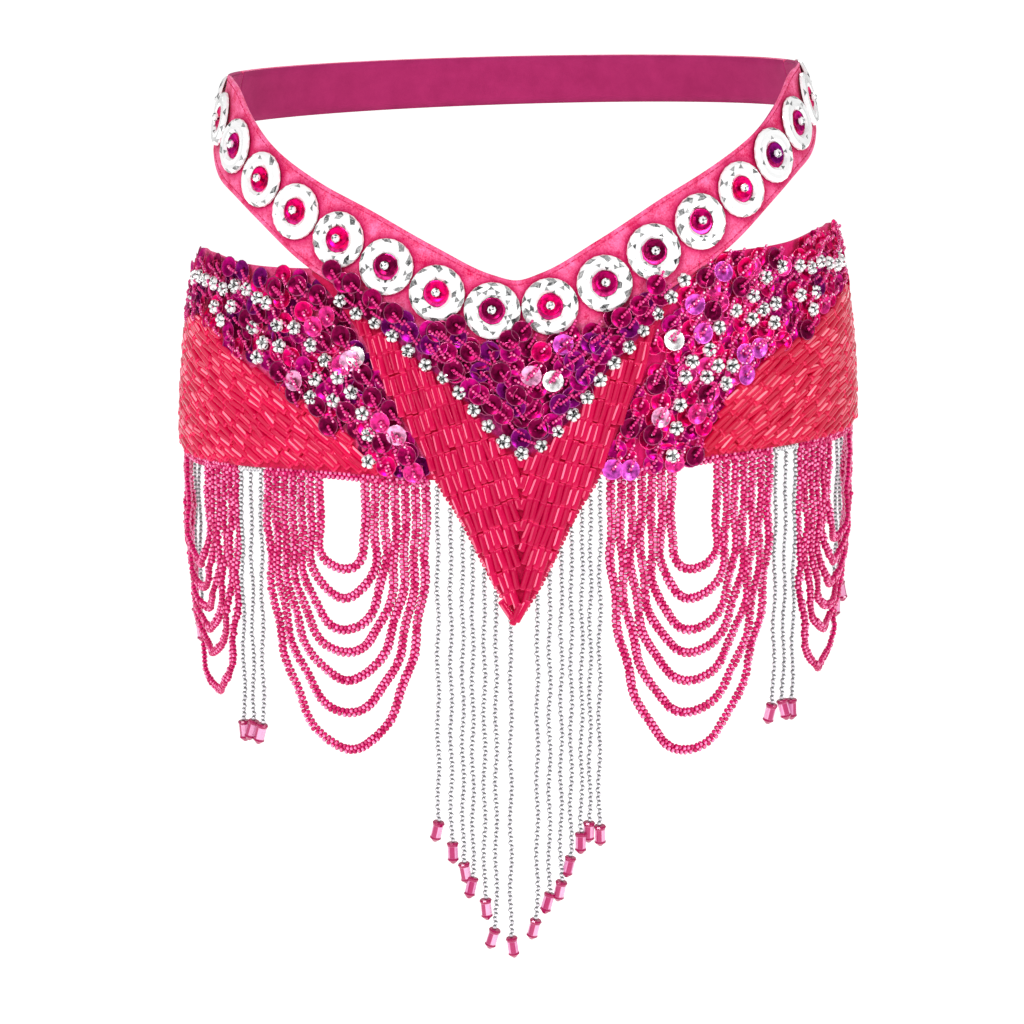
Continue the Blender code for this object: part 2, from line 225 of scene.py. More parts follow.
# %% The chalk lines
SIDES = {-1: "right", 1: "left"}
V_BORDER = table("arc level", [
    (-0.092, -0.078), (-0.084, -0.085), (-0.065, -0.095), (-0.047, -0.110), (-0.029, -0.124), (-0.016, -0.140),
    (-0.003, -0.153), (0.004, -0.1565), (0.012, -0.1515), (0.027, -0.137), (0.042, -0.1185), (0.056, -0.105),
    (0.071, -0.090), (0.082, -0.079)])
SIDE_BORDER = {
    -1: table("arc level", [
        (0.060, -0.166), (0.073, -0.157), (0.084, -0.146), (0.094, -0.140), (0.109, -0.131), (0.123, -0.122),
        (0.143, -0.115), (0.156, -0.108), (0.169, -0.100), (0.186, -0.097), (0.215, -0.101), (0.262, -0.112)]),
    1: table("arc level", [
        (0.078, -0.169), (0.088, -0.162), (0.095, -0.149), (0.102, -0.138), (0.116, -0.128), (0.126, -0.121),
        (0.142, -0.116), (0.160, -0.111), (0.181, -0.102), (0.203, -0.096), (0.225, -0.100), (0.262, -0.112)]),
}


def v_border(arc):
    return read_along(V_BORDER, "level", arc)


def side_border(side, arc):
    return read_along(SIDE_BORDER[side], "level", abs(arc))


# %% [markdown]
# ## Helpers for node trees
# A node tree reads best when one line adds a node and joins it. These helpers do that for shader groups and
# Geometry Nodes alike. The last ones run a finished tree on a mesh and put a finished piece in the scene.

# %% Helpers for nodes
def add_node(tree, kind, inputs=None, **settings):
    """Adds a node. Each input gets a value, or is joined to another node's output."""
    made = tree.nodes.new(kind)
    for name, value in settings.items():
        setattr(made, name, value)
    for name, value in (inputs or {}).items():
        if isinstance(value, bpy.types.NodeSocket):
            tree.links.new(value, made.inputs[name])
        else:
            made.inputs[name].default_value = value
    return made


def output_of(tree, kind, inputs=None, output=0, **settings):
    """Adds a node and gives one of its outputs."""
    return add_node(tree, kind, inputs, **settings).outputs[output]


def join(tree, inputs, outputs):
    """Joins each named input to an output."""
    for name, socket in outputs.items():
        tree.links.new(socket, inputs[name])


def new_tree(name, kind, inputs, outputs):
    """A node group with named sockets. Each input is (name, type) or (name, type, default)."""
    tree = bpy.data.node_groups.new(name, kind)
    for title, socket, *default in inputs:
        made = tree.interface.new_socket(name=title, in_out="INPUT", socket_type=f"NodeSocket{socket}")
        if default:
            made.default_value = default[0]
    for title, socket in outputs:
        tree.interface.new_socket(name=title, in_out="OUTPUT", socket_type=f"NodeSocket{socket}")
    return tree, tree.nodes.new("NodeGroupInput").outputs, tree.nodes.new("NodeGroupOutput").inputs


def scaled(tree, value, factor, extra=0.0):
    """The value times the factor, plus the extra."""
    return output_of(tree, "ShaderNodeMath", {0: value, 1: factor, 2: extra}, operation="MULTIPLY_ADD")


def put_in_scene(name, data):
    made = bpy.data.objects.new(name, data)
    bpy.context.scene.collection.objects.link(made)
    return made


def result_of(holder, name):
    """The plain mesh that an object's modifiers make. The object itself is removed."""
    evaluated = holder.evaluated_get(bpy.context.evaluated_depsgraph_get())
    result = bpy.data.meshes.new_from_object(evaluated)
    result.name = name
    bpy.data.objects.remove(holder, do_unlink=True)
    return result


def made_by(tree, name, mesh, **values):
    """Runs a Geometry Nodes tree on a mesh and returns the result as a plain mesh."""
    holder = put_in_scene(name, mesh)
    nodes = holder.modifiers.new("nodes", "NODES")
    nodes.node_group = tree
    titles = {item.name: item.identifier for item in tree.interface.items_tree if item.in_out == "INPUT"}
    for title, value in values.items():
        nodes[titles[title]] = value
    return result_of(holder, name)


def finished_piece(name, mesh, replaced=()):
    """Puts a finished mesh in the scene, on the belt's one body."""
    piece = put_in_scene(name, mesh)
    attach(piece, "root")
    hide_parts(*replaced)
    mesh.calc_loop_triangles()
    print(name, "has", len(mesh.loop_triangles), "triangles")
    return piece


# %% [markdown]
# ## Shared finishes
# Two effects turn up all over the belt. Cloth has a pile or a weave that breaks up its colour and its
# surface. Beads of one kind are never quite alike, and they carry painted light and shade: a colour at
# each bead's ends, painted shade where most beads meet and painted light on the seams between bugles,
# and a painted line along one side, a highlight on most beads and a dark reflection on clear ones. Each
# effect is one shader group with its own inputs, so every material can place it and set it. Both groups
# are joined up from the same few nodes, so each of those gets a short name first.

# %% Short ways to the nodes that shaders share
def attribute(tree, name):
    return output_of(tree, "ShaderNodeAttribute", output="Fac", attribute_name=name)


def noise(tree, scale, **others):
    """Noise that lies still on the object."""
    place = output_of(tree, "ShaderNodeTexCoord", output="Object")
    return output_of(tree, "ShaderNodeTexNoise", {"Vector": place, "Scale": scale, **others}, "Fac")


def mapped(tree, value, low, high, to_low=0.0, to_high=1.0):
    """Stretches the values from low to high over another span, and holds the rest at its ends."""
    return output_of(tree, "ShaderNodeMapRange", {0: value, 1: low, 2: high, 3: to_low, 4: to_high})


def clamped(tree, value):
    return output_of(tree, "ShaderNodeClamp", {"Value": value})


def colour_mix(tree, share, first, second, blend_type="MIX"):
    return output_of(tree, "ShaderNodeMix", {0: share, 6: first, 7: second}, 2, data_type="RGBA",
                     blend_type=blend_type)


# %% The cloth grain group
def cloth_grain_group():
    tree, given, result = new_tree(
        "cloth_grain", "ShaderNodeTree",
        [("Deep", "Color", (0.5, 0.0, 0.1, 1.0)), ("Light", "Color", (0.9, 0.1, 0.3, 1.0)),
         ("Patches", "Float", 160.0), ("Threads", "Float", 2200.0)],
        [("Colour", "Color"), ("Height", "Float"), ("Roughness", "Float")])
    patches = noise(tree, given["Patches"], Detail=4.0, Roughness=0.65)
    pile = noise(tree, given["Threads"], Detail=2.0)
    blend = clamped(tree, scaled(tree, pile, 1.3, scaled(tree, patches, 2.2, -1.25)))
    join(tree, result, {"Colour": colour_mix(tree, blend, given["Deep"], given["Light"]),
                        "Height": scaled(tree, patches, 0.6, pile),
                        "Roughness": scaled(tree, pile, -0.25, 0.95)})
    return tree


# %% The bead colour group
def bead_colour_group():
    """Reads three attributes: tone, one number for each bead, core, 0 at its ends, and streak, 1 on one side.
    Ends is painted shade at the joins of most beads, painted light on bugle seams and an end bead's own
    crown colour. Streak is a painted highlight, and on clear beads a painted dark reflection.
    """
    tree, given, result = new_tree(
        "bead_colour", "ShaderNodeTree",
        [("Ends", "Color", (0.2, 0.0, 0.05, 1.0)), ("Deep", "Color", (0.5, 0.0, 0.1, 1.0)),
         ("Bright", "Color", (0.9, 0.1, 0.3, 1.0)), ("Streak", "Color", (1.0, 0.6, 0.8, 1.0)),
         ("Streak Share", "Float", 0.6), ("Streaked From", "Float", 0.4)],
        [("Colour", "Color"), ("Roughness", "Float")])
    tone, core, streak = (attribute(tree, name) for name in ("tone", "core", "streak"))
    tone_and_reflection_noise = noise(tree, 700.0)
    spread = clamped(tree, scaled(tree, tone_and_reflection_noise, 0.6, scaled(tree, tone, 0.8, -0.2)))
    body = colour_mix(tree, spread, given["Deep"], given["Bright"])
    line = mapped(tree, streak, 0.36, 0.58)
    chosen = mapped(tree, scaled(tree, given["Streaked From"], -1.0, tone), -0.1, 0.3, 0.06, 1.0)
    lit = scaled(tree, scaled(tree, scaled(tree, line, chosen), core), given["Streak Share"])
    body = colour_mix(tree, lit, body, given["Streak"])
    join(tree, result, {"Colour": colour_mix(tree, core, given["Ends"], body),
                        "Roughness": scaled(tree, tone_and_reflection_noise, 0.2, 0.06)})
    return tree


CLOTH_GRAIN = cloth_grain_group()
BEAD_COLOUR = bead_colour_group()

# %% [markdown]
# ## Materials
# Velvet scatters light at its edges, so it has sheen. Glass beads are glossy, the clear and cut ones with a
# clear coat, and glow a little in their own colour: painted light that stands in for the light glass lets
# through. Sequins are dyed foil, so they are metallic, and they glow a little too. Each Principled shader
# takes its colour from a shared group, and its fixed numbers are set on its own sockets.

# %% Material helpers
def colour(red, green, blue):
    """A colour given in the 0 to 255 steps of a screen, as the linear values a shader takes."""
    return (*(((step / 255 + 0.055) / 1.055) ** 2.4 if step > 10 else step / 255 / 12.92
              for step in (red, green, blue)), 1.0)


def new_material(name, fixed):
    """A material with one Principled shader. fixed holds the numbers set on the shader's own sockets."""
    material = bpy.data.materials.new(name)
    material.use_nodes = True
    tree = material.node_tree
    tree.nodes.clear()
    shader = add_node(tree, "ShaderNodeBsdfPrincipled", fixed)
    add_node(tree, "ShaderNodeOutputMaterial", {"Surface": shader.outputs[0]})
    return material, tree, shader


def cloth_material(name, deep, light, patches, threads, bump, fixed, marked=None):
    """Cloth of two colours. Where the attribute zone is 1, marked gives the two colours instead."""
    material, tree, shader = new_material(name, fixed)
    grains = [add_node(tree, "ShaderNodeGroup", {"Deep": colour(*pair[0]), "Light": colour(*pair[1]),
                                                 "Patches": patches, "Threads": threads},
                       node_tree=CLOTH_GRAIN).outputs for pair in filter(None, ((deep, light), marked))]
    shown = grains[0]["Colour"]
    if marked:
        shown = colour_mix(tree, attribute(tree, "zone"), shown, grains[1]["Colour"])
    relief = output_of(tree, "ShaderNodeBump", {"Height": grains[0]["Height"], "Distance": bump})
    join(tree, shader.inputs, {"Base Color": shown, "Roughness": grains[0]["Roughness"], "Normal": relief})
    material.diffuse_color = colour(*light)
    return material


def bead_material(name, ends, deep, bright, streak, share, fixed, streaked_from):
    """Glass of four colours. ends colours a bead's ends, painted shade or light at most joins, and streak is a
    painted highlight line. share is how strong a streak is, and a high streaked_from makes streaks rare.
    """
    material, tree, shader = new_material(name, fixed)
    tint = add_node(tree, "ShaderNodeGroup", {
        "Ends": colour(*ends), "Deep": colour(*deep), "Bright": colour(*bright), "Streak": colour(*streak),
        "Streak Share": share, "Streaked From": streaked_from}, node_tree=BEAD_COLOUR).outputs
    join(tree, shader.inputs, {"Base Color": tint["Colour"], "Emission Color": tint["Colour"],
                               "Roughness": tint["Roughness"]})
    material.diffuse_color = colour(*bright)
    return material


# %% The belt's cloth and glass
SHEEN = {"Sheen Weight": 0.25, "Sheen Roughness": 0.4, "Sheen Tint": (1.0, 0.7, 0.85, 1.0),
         "Specular IOR Level": 0.15}
# Emission Strength makes the glass glow in its own colour: painted light that lifts its shade.
CRIMSON_GLASS = {"Specular Tint": (1.0, 0.25, 0.4, 1.0), "Emission Strength": 0.3}
PINK_GLASS = {"Specular Tint": (1.0, 0.4, 0.7, 1.0), "Emission Strength": 0.16}
CRYSTAL = {"Coat Weight": 0.3, "Coat Roughness": 0.03, "Emission Strength": 0.3}
CUT_GLASS = {"Coat Weight": 0.4, "Coat Roughness": 0.03, "Specular Tint": (1.0, 0.6, 0.8, 1.0),
             "Emission Strength": 0.08}

# The strap's second pair of colours, where zone is 1, is a painted shadow in a ring round each disc.
VELVET = cloth_material("strap_velvet", (216, 4, 78), (255, 126, 178), 170.0, 1300.0, 0.0004, SHEEN,
                        ((184, 0, 74), (218, 24, 100)))
LINING = cloth_material("magenta_lining", (162, 32, 94), (178, 42, 106), 90.0, 3000.0, 0.0001,
                        {"Sheen Weight": 0.05, "Specular IOR Level": 0.2})
V_CLOTH = cloth_material("v_panel_cloth", (176, 4, 58), (206, 20, 80), 300.0, 2600.0, 0.0003, SHEEN,
                         ((110, 4, 76), (210, 50, 130)))
SIDE_CLOTH = {
    -1: cloth_material("right_panel_cloth", (180, 4, 56), (212, 18, 76), 300.0, 2600.0, 0.0003, SHEEN,
                       ((204, 10, 92), (255, 104, 160))),
    1: cloth_material("left_panel_cloth", (178, 6, 46), (210, 26, 66), 300.0, 2600.0, 0.0003, SHEEN,
                      ((206, 2, 88), (236, 30, 120)))}
THREAD = cloth_material("stitching_thread", (196, 10, 84), (232, 40, 112), 400.0, 4000.0, 0.0001, {})
# Bugles: the pale Ends are painted light on the seams between bugles, and Streak is a painted highlight.
V_BUGLES = bead_material("v_bugle_glass", (230, 60, 112), (160, 0, 50), (186, 4, 64), (252, 132, 162), 0.9,
                         CRIMSON_GLASS, 0.45)
SIDE_BUGLES = {
    -1: bead_material("right_bugle_glass", (230, 58, 104), (176, 0, 52), (202, 2, 64), (255, 150, 172), 0.9,
                      CRIMSON_GLASS, 0.58),
    1: bead_material("left_bugle_glass", (222, 62, 98), (168, 4, 42), (196, 14, 58), (250, 158, 172), 0.9,
                     CRIMSON_GLASS, 0.62)}
# Seed and trail beads: Ends is painted shade where beads meet, and Streak is a painted highlight.
SEED_GLASS = bead_material("pink_seed_glass", (160, 0, 70), (184, 0, 80), (216, 22, 108), (254, 150, 198),
                           0.85, PINK_GLASS, 0.3)
TRAIL_GLASS = bead_material("trail_bead_glass", (166, 4, 88), (200, 14, 106), (232, 84, 154),
                            (255, 228, 242), 0.9, PINK_GLASS, 0.45)
# Clear beads: the grey Ends are painted shade at each join, and the grey Streak is a painted dark reflection.
CLEAR_GLASS = bead_material("clear_glass", (104, 104, 106), (190, 186, 192), (230, 228, 232),
                            (136, 134, 138), 0.9, CRYSTAL, 0.3)
# End beads: Ends is the deep colour of the crown and tip; Streak paints dark pink stripes down the sides.
END_GLASS = bead_material("end_bead_glass", (160, 0, 76), (214, 128, 176), (240, 178, 210), (170, 4, 86),
                          0.95, CUT_GLASS, -2.0)

# %% [markdown]
# A belt's sequins come from one box of colours, from nearly black wine through violet, magenta and orchid
# to white. The white at its end is a painted highlight: a sequin shown as it catches the light. The
# attribute tone says where in the box each one was taken from.

# %% Sequin foil
SEQUIN_BOX = [(0.00, (122, 3, 60)), (0.16, (122, 6, 104)), (0.28, (160, 2, 80)), (0.42, (184, 4, 112)),
              (0.56, (226, 2, 98)), (0.70, (244, 50, 144)), (0.80, (228, 84, 206)), (0.90, (252, 170, 214)),
              (0.97, (255, 252, 254))]


def foil_material():
    """Dyed foil with painted light and shade: painted shade deep by the hole, painted reflections in patches
    where it mirrors other sequins, and a painted highlight pale at the rim.
    """
    # Its emission is painted light: the foil glows in its own colour, which lifts its shade.
    material, tree, shader = new_material("sequin_foil", {
        "Metallic": 0.92, "Specular Tint": (1.0, 0.5, 0.7, 1.0), "Emission Strength": 0.15})
    core = attribute(tree, "core")
    box = add_node(tree, "ShaderNodeValToRGB", {"Fac": attribute(tree, "tone")})
    box.color_ramp.interpolation = "CONSTANT"
    for place, shade in SEQUIN_BOX[1:]:
        box.color_ramp.elements.new(place).color = colour(*shade)
    for end in (0, -1):
        box.color_ramp.elements[end].color = colour(*SEQUIN_BOX[end][1])
    # This noise patches the foil's brightness: painted reflection.
    tone_and_reflection_noise = noise(tree, 420.0)
    mirrored = scaled(tree, mapped(tree, tone_and_reflection_noise, 0.35, 0.65, 0.55, 1.3), mapped(tree, core, 0.0, 1.0, 0.4, 1.0))
    mirrored = output_of(tree, "ShaderNodeCombineXYZ", dict.fromkeys(range(3), mirrored))
    shown = colour_mix(tree, 1.0, box.outputs[0], mirrored, "MULTIPLY")
    # The pale rim is a painted highlight.
    shown = colour_mix(tree, mapped(tree, core, 1.1, 1.6, 0.0, 0.22), shown, colour(244, 150, 196))
    join(tree, shader.inputs, {"Base Color": shown, "Emission Color": shown,
                               "Roughness": scaled(tree, tone_and_reflection_noise, 0.3, 0.12)})
    return material


SEQUIN_FOIL = foil_material()

# %% [markdown]
# The discs and the flowers are cut and silvered. A facet either catches the studio's white or stands dark
# against it, so their meshes carry an attribute named cut, 0 where a facet is bright and 1 where it is
# dark, and the material reads it.

# %% Silver facets
def silver_material(name, dark, glints, patchy):
    """Bright silver with painted dark reflections where cut is 1, and small painted dark glints where the noise
    passes a level.

    patchy, from 0 to 1, is how far another noise breaks up the dark parts."""
    material, tree, shader = new_material(name, {"Metallic": 0.2, "Coat Weight": 0.6, "Coat Roughness": 0.03})
    # This noise places the small painted dark glints.
    tone_and_reflection_noise = noise(tree, 650.0)
    broken = mapped(tree, noise(tree, 1100.0), 0.40, 0.50, 1.0 - patchy)
    shade = scaled(tree, attribute(tree, "cut"), broken, mapped(tree, tone_and_reflection_noise, glints, glints + 0.05))
    shown = colour_mix(tree, clamped(tree, shade), colour(250, 250, 250), colour(*dark))
    join(tree, shader.inputs, {"Base Color": shown, "Roughness": scaled(tree, tone_and_reflection_noise, 0.14, 0.06)})
    return material


SILVER = silver_material("disc_silver", (26, 28, 32), 0.74, 0.35)
FLOWER_SILVER = silver_material("flower_silver", (22, 18, 24), 0.57, 0.6)
print("materials:", len(bpy.data.materials))

# %% [markdown]
# ## Cloth
# Each cloth piece is a grid laid over the hip form, one wall thick. The strap is cut on a curve and its
# long edges are turned under and stitched, so each edge stands up as a soft roll with a groove beside it
# where the stitches pull. Solidify gives the wall, and faces that look inwards get the lining.

# %% Lay a piece of cloth
ROLL_HEIGHT = 0.0005
ROLL_MIDDLE = 0.0010
ROLL_WIDTH = 0.0007
STITCH_LINE = 0.0023
STITCH_GROOVE = 0.0003
DISC_RADIUS = 0.0135
FIRST_DISC = 0.0139
DISC_PITCH = 0.0280
DISC_SHIFT = 0.0018
DISCS_A_SIDE = 9
# How far the painted shadow round a disc reaches beyond its rim.
DISC_SHADOW_REACH = 0.0042
LOOKS_ASIDE = 0.5
WALK_STEP = 0.0002
V_SEQUIN_REACH = 0.088
V_BORDER_LAP = 0.001


def edge_roll(distance):
    """How far the cloth's face stands out at a distance from a turned edge."""
    roll = ROLL_HEIGHT * math.exp(-((distance - ROLL_MIDDLE) / ROLL_WIDTH) ** 2)
    groove = STITCH_GROOVE * math.exp(-((distance - STITCH_LINE) / (ROLL_WIDTH / 2)) ** 2)
    return roll - groove


def looks_out(face):
    outward = Vector((face.center.x / HIP_HALF_WIDTH ** 2, face.center.y / HIP_HALF_DEPTH ** 2, 0.0))
    return face.normal.dot(outward.normalized())


def mesh_from(name, built):
    mesh = bpy.data.meshes.new(name)
    built.to_mesh(mesh)
    built.free()
    return mesh


def laid_grid(name, columns, rows, lay):
    """A grid laid by lay(across, up), and its points' arcs, levels and heights above the form."""
    sheet = bmesh.new()
    bmesh.ops.create_grid(sheet, x_segments=columns, y_segments=rows, size=0.5)
    places = [lay(corner.co.x + 0.5, corner.co.y + 0.5) for corner in sheet.verts]
    for corner, place in zip(sheet.verts, places):
        corner.co = hip_point(*place)
    return mesh_from(name, sheet), places


def mark(mesh, name, values, domain="POINT"):
    """Writes one number for each point of a mesh, or for each face."""
    mesh.attributes.new(name, "FLOAT", domain).data.foreach_set("value", values)


def cloth_shell(name, columns, rows, lay, wall, finishes, zone=None):
    """A cloth piece from lay(across, up), which gives arc, level and how far out its face is."""
    mesh, places = laid_grid(name, columns, rows, lay)
    if zone:
        mark(mesh, "zone", [zone(arc, level) for arc, level, out in places])
    for finish in finishes:
        mesh.materials.append(finish)
    holder = put_in_scene(name, mesh)
    solid = holder.modifiers.new("wall", "SOLIDIFY")
    solid.thickness = wall
    solid.offset = -1.0
    solid.use_even_offset = True
    shell = result_of(holder, name)
    for face in shell.polygons:
        face.material_index = 1 if looks_out(face) < -LOOKS_ASIDE else 0
        face.use_smooth = abs(looks_out(face)) > LOOKS_ASIDE
    return shell


# %% Strap, V panel and side panels
EVEN = [0.0, 0.035, 0.06, 0.085, 0.11, 0.15, 0.20, 0.26, 0.32, 0.38, 0.44, 0.50, 0.56, 0.62, 0.68, 0.74, 0.80,
        0.85, 0.89, 0.915, 0.94, 0.965, 1.0]


def crowd(up):
    """Crowds a grid's rows towards both edges, where the cloth is rolled."""
    return float(np.interp(up, np.linspace(0.0, 1.0, len(EVEN)), EVEN))


def lay_strap(across, up):
    arc = between(-STRAP_END, STRAP_END, across)
    low, high = strap_bottom(arc), strap_top(arc)
    level = between(low, high, crowd(up))
    relief = edge_roll(high - level) + edge_roll(level - low)
    return arc, level, OUTER_LAYER + CLOTH + relief


def lay_v_panel(across, up):
    arc = between(-V_CORNER, V_CORNER, across)
    top = v_top(arc)
    level = between(min(v_edge(arc), top - V_CORNER_HEIGHT), top, up)
    return arc - v_lean(level), level, OUTER_LAYER + CLOTH


def lay_side_panel(side):
    def lay(across, up):
        share = across if side > 0 else 1.0 - across
        level = between(SIDE_PANEL[0].hem, SIDE_PANEL[0].top, up)
        arc = between(side_front(side, level) - V_LAP, SIDE_PANEL_END, share)
        top = side_top(arc)
        level = between(side_hem(arc), top, up)
        clear_of_v = arc > side_front(side, level) + V_LAP
        relief = edge_roll(top - level) if clear_of_v else 0.0
        return side * arc, level, INNER_LAYER + CLOTH + relief
    return lay


def lay_ring(end, bottom, top, out):
    def lay(across, up):
        return between(end + SEAM, WHOLE_RING - end - SEAM, across), between(bottom, top, up), out
    return lay


def area_of(shell):
    """The cloth's own area: its outer faces."""
    return sum(face.area for face in shell.polygons if looks_out(face) > LOOKS_ASIDE)


# %% Zones on the cloth
def paced_arcs(place_at, arc, walked, pitch):
    """Arcs a pitch apart along the line that place_at draws, without end."""
    while True:
        walked += (place_at(arc + WALK_STEP) - place_at(arc)).length
        arc += WALK_STEP
        if walked >= pitch:
            walked -= pitch
            yield arc


def on_strap(arc):
    return hip_point(arc, strap_middle(arc), OUTER_LAYER + CLOTH)


PACED = list(islice(paced_arcs(on_strap, 0.0, DISC_PITCH - FIRST_DISC, DISC_PITCH), DISCS_A_SIDE))
DISC_ARCS = {side: [side * arc + DISC_SHIFT for arc in PACED] for side in SIDES}
DISC_PLACES = [on_strap(arc) for arcs in DISC_ARCS.values() for arc in arcs]


def painted_disc_shadow(arc, level):
    """1 where the strap gets a painted shadow round a disc, fading to 0 a little way beyond its rim."""
    place = hip_point(arc, level, OUTER_LAYER + CLOTH)
    beyond = min((place - middle).length for middle in DISC_PLACES) - DISC_RADIUS
    return min(max(1.0 - beyond / DISC_SHADOW_REACH, 0.0), 1.0)


def v_sequins(arc, level):
    """1 where sequins cover the V panel."""
    return 1.0 if level > v_border(arc) - V_BORDER_LAP and abs(arc) < V_SEQUIN_REACH else 0.0


def side_sequins(side):
    def zone(arc, level):
        return 1.0 if level > side_border(side, arc) else 0.0
    return zone


# %% Lay every cloth piece, name it and state its cut
def cloth_piece(name, node, shell):
    piece = finished_piece(name, shell, [node])
    area_of(shell)
    print("its cloth measures", round(area_of(shell) * 1e4, 1), "square centimetres")


cloth_piece("strap_velvet", "front_strap",
            cloth_shell("strap", 360, 24, lay_strap, CLOTH, [VELVET, LINING], painted_disc_shadow))
cloth_piece("v_panel_cloth", "front_v_panel",
            cloth_shell("v_panel", 110, 60, lay_v_panel, CLOTH, [V_CLOTH, LINING], v_sequins))
for side, word in SIDES.items():
    cloth_piece(f"side_panel_cloth_{word}", f"side_panel_{word}",
                cloth_shell(f"side_panel_{side}", 110, 50, lay_side_panel(side), CLOTH,
                            [SIDE_CLOTH[side], LINING], side_sequins(side)))
band_lay = lay_ring(STRAP_END, BAND_BOTTOM, BAND_TOP, OUTER_LAYER + CLOTH)
cloth_piece("back_band_cloth", "back_band",
            cloth_shell("back_band", 140, 6, band_lay, CLOTH, [VELVET, LINING]))
elastic_lay = lay_ring(SIDE_PANEL_END, ELASTIC_BOTTOM, ELASTIC_TOP, ELASTIC)
cloth_piece("hip_elastic_cloth", "hip_elastic",
            cloth_shell("elastic", 140, 6, elastic_lay, ELASTIC, [LINING, LINING]))

# %% [markdown]
# ## Bead shapes
# Each bead is modelled once and then repeated hundreds of times, so it has only a few dozen faces. A seed
# bead is a rounded ring, a bugle is a cut length of glass tube, and a sequin is a shallow cup with a hole.
# The attribute core is 0 at a bead's ends, where the shaders paint light or shade on the joins between beads.

# %% Turned bead shapes
SEED_WIDTH = 0.0031
SEED_LENGTH = 0.0021
SEED_PITCH = 0.0012
BEAD_OFF_THREAD = 0.00105
CLEAR_OFF_THREAD = 0.0003
TWIST = math.pi
SEED_LOOSE = 0.4
CLEAR_WIDTH = 0.0024
CLEAR_PITCH = 0.0021
BUGLE_WIDTH = 0.0037
BUGLE_LENGTH = 0.0108
BUGLE_PITCH = 0.0106
BUGLE_STREAK = 0.0030
END_BEAD_WIDTH = 0.0058
END_BEAD_LENGTH = 0.0108
SEQUIN_RADIUS = 0.0051
FLOWER_RADIUS = 0.0037


def turned_shape(name, profile, sides, core_of, smooth=True, streaked=(), streak_reach=1.0, off_thread=0.0):
    """A turned mesh with the attributes core and streak. streaked lists its streaked sides, which get a painted
    highlight line, and on clear beads a painted dark line.
    """
    shape = bmesh.new()
    corners = [shape.verts.new((radius, 0.0, height)) for radius, height in profile]
    edges = [shape.edges.new(pair) for pair in zip(corners, corners[1:])]
    bmesh.ops.spin(shape, geom=corners + edges, cent=(0, 0, 0), axis=(0, 0, 1), angle=2 * math.pi,
                   steps=sides)
    bmesh.ops.remove_doubles(shape, verts=shape.verts, dist=0.000001)
    bmesh.ops.recalc_face_normals(shape, faces=shape.faces)
    mesh = mesh_from(name, shape)
    for face in mesh.polygons:
        face.use_smooth = smooth
    turns = [round(math.atan2(point.co.y, point.co.x) / (2 * math.pi) * sides) % sides
             for point in mesh.vertices]
    mark(mesh, "core", [core_of(point.co) for point in mesh.vertices])
    mark(mesh, "streak", [1.0 if turn in streaked and abs(point.co.z) < streak_reach else 0.0
                          for turn, point in zip(turns, mesh.vertices)])
    mesh.transform(Matrix.Translation((0.0, off_thread, 0.0)))
    return bpy.data.objects.new(name, mesh)


def both_halves(lower):
    """The whole section of a bead from the section of its lower half."""
    return lower + [(reach, -height) for reach, height in reversed(lower)]


def bead_profile(width, length, bore, shoulder):
    """The section of a bead with rounded shoulders."""
    radius, half = width / 2, length / 2
    return both_halves([(0.0, -half + bore), (radius * 0.5, -half), (radius * 0.9, -half + shoulder * 0.4),
                        (radius, -half + shoulder)])


def bugle_profile():
    """A bugle's section, with a ring of points where its streak of light ends on either side."""
    section = bead_profile(BUGLE_WIDTH, BUGLE_LENGTH, 0.0006, 0.0006)
    streak_ends = both_halves([(BUGLE_WIDTH / 2, -BUGLE_STREAK + 0.0001)])
    return section[:4] + streak_ends + section[4:]


def clear_profile():
    """A clear bead between two narrow ends, which carry painted shade for the dark the glass shows at each join.
    """
    radius, half = CLEAR_WIDTH / 2, CLEAR_PITCH / 2
    return both_halves([(0.0, -half), (radius * 0.64, -half), (radius * 0.7, -half + 0.0004),
                        (radius, -half + 0.0007)])


def seed_profile():
    radius, half = SEED_WIDTH / 2, SEED_LENGTH / 2
    return both_halves([(0.0, -half), (radius * 0.6, -half), (radius, -half * 0.4)])


def end_bead_profile():
    """A cut bead, from its flared crown to the point that hangs down."""
    radius, half = END_BEAD_WIDTH / 2, END_BEAD_LENGTH / 2
    return [(0.0, -half), (radius * 0.9, -half), (radius * 1.06, -half + 0.0007), (radius * 0.94, -half + 0.0017),
            (radius * 0.9, -half + 0.0021), (radius * 0.9, half - 0.0034), (radius * 0.94, half - 0.0030),
            (radius * 1.0, half - 0.0022), (radius * 0.35, half - 0.0004), (0.0, half)]


def core_along(length, end_share):
    """Rises from 0 at a bead's ends to 1 over a share of its half length."""
    def core_of(place):
        from_end = 1.0 - abs(place.z) / (length / 2)
        return min(max(from_end / end_share, 0.0), 1.0)
    return core_of


def core_between(low, high):
    return lambda place: 1.0 if low < place.z < high else 0.0


clear_core = core_between(0.0005 - CLEAR_PITCH / 2, CLEAR_PITCH / 2 - 0.0005)
end_bead_core = core_between(-END_BEAD_LENGTH / 2 + 0.0019, END_BEAD_LENGTH / 2 - 0.0032)
SEED = turned_shape("seed_bead", seed_profile(), 6, core_along(SEED_LENGTH, 0.5), streaked=(0, 3),
                    off_thread=BEAD_OFF_THREAD)
CLEAR = turned_shape("clear_bead", clear_profile(), 6, clear_core, streaked=(1, 4), off_thread=CLEAR_OFF_THREAD)
BUGLE = turned_shape("bugle_bead", bugle_profile(), 10, core_along(BUGLE_LENGTH, 0.12), streaked=(1, 6),
                     streak_reach=BUGLE_STREAK)
END_BEAD = turned_shape("end_bead", end_bead_profile(), 12, end_bead_core, smooth=False, streaked=(0, 1, 6, 7))
print("a seed bead has", len(SEED.data.polygons), "faces, a bugle", len(BUGLE.data.polygons))

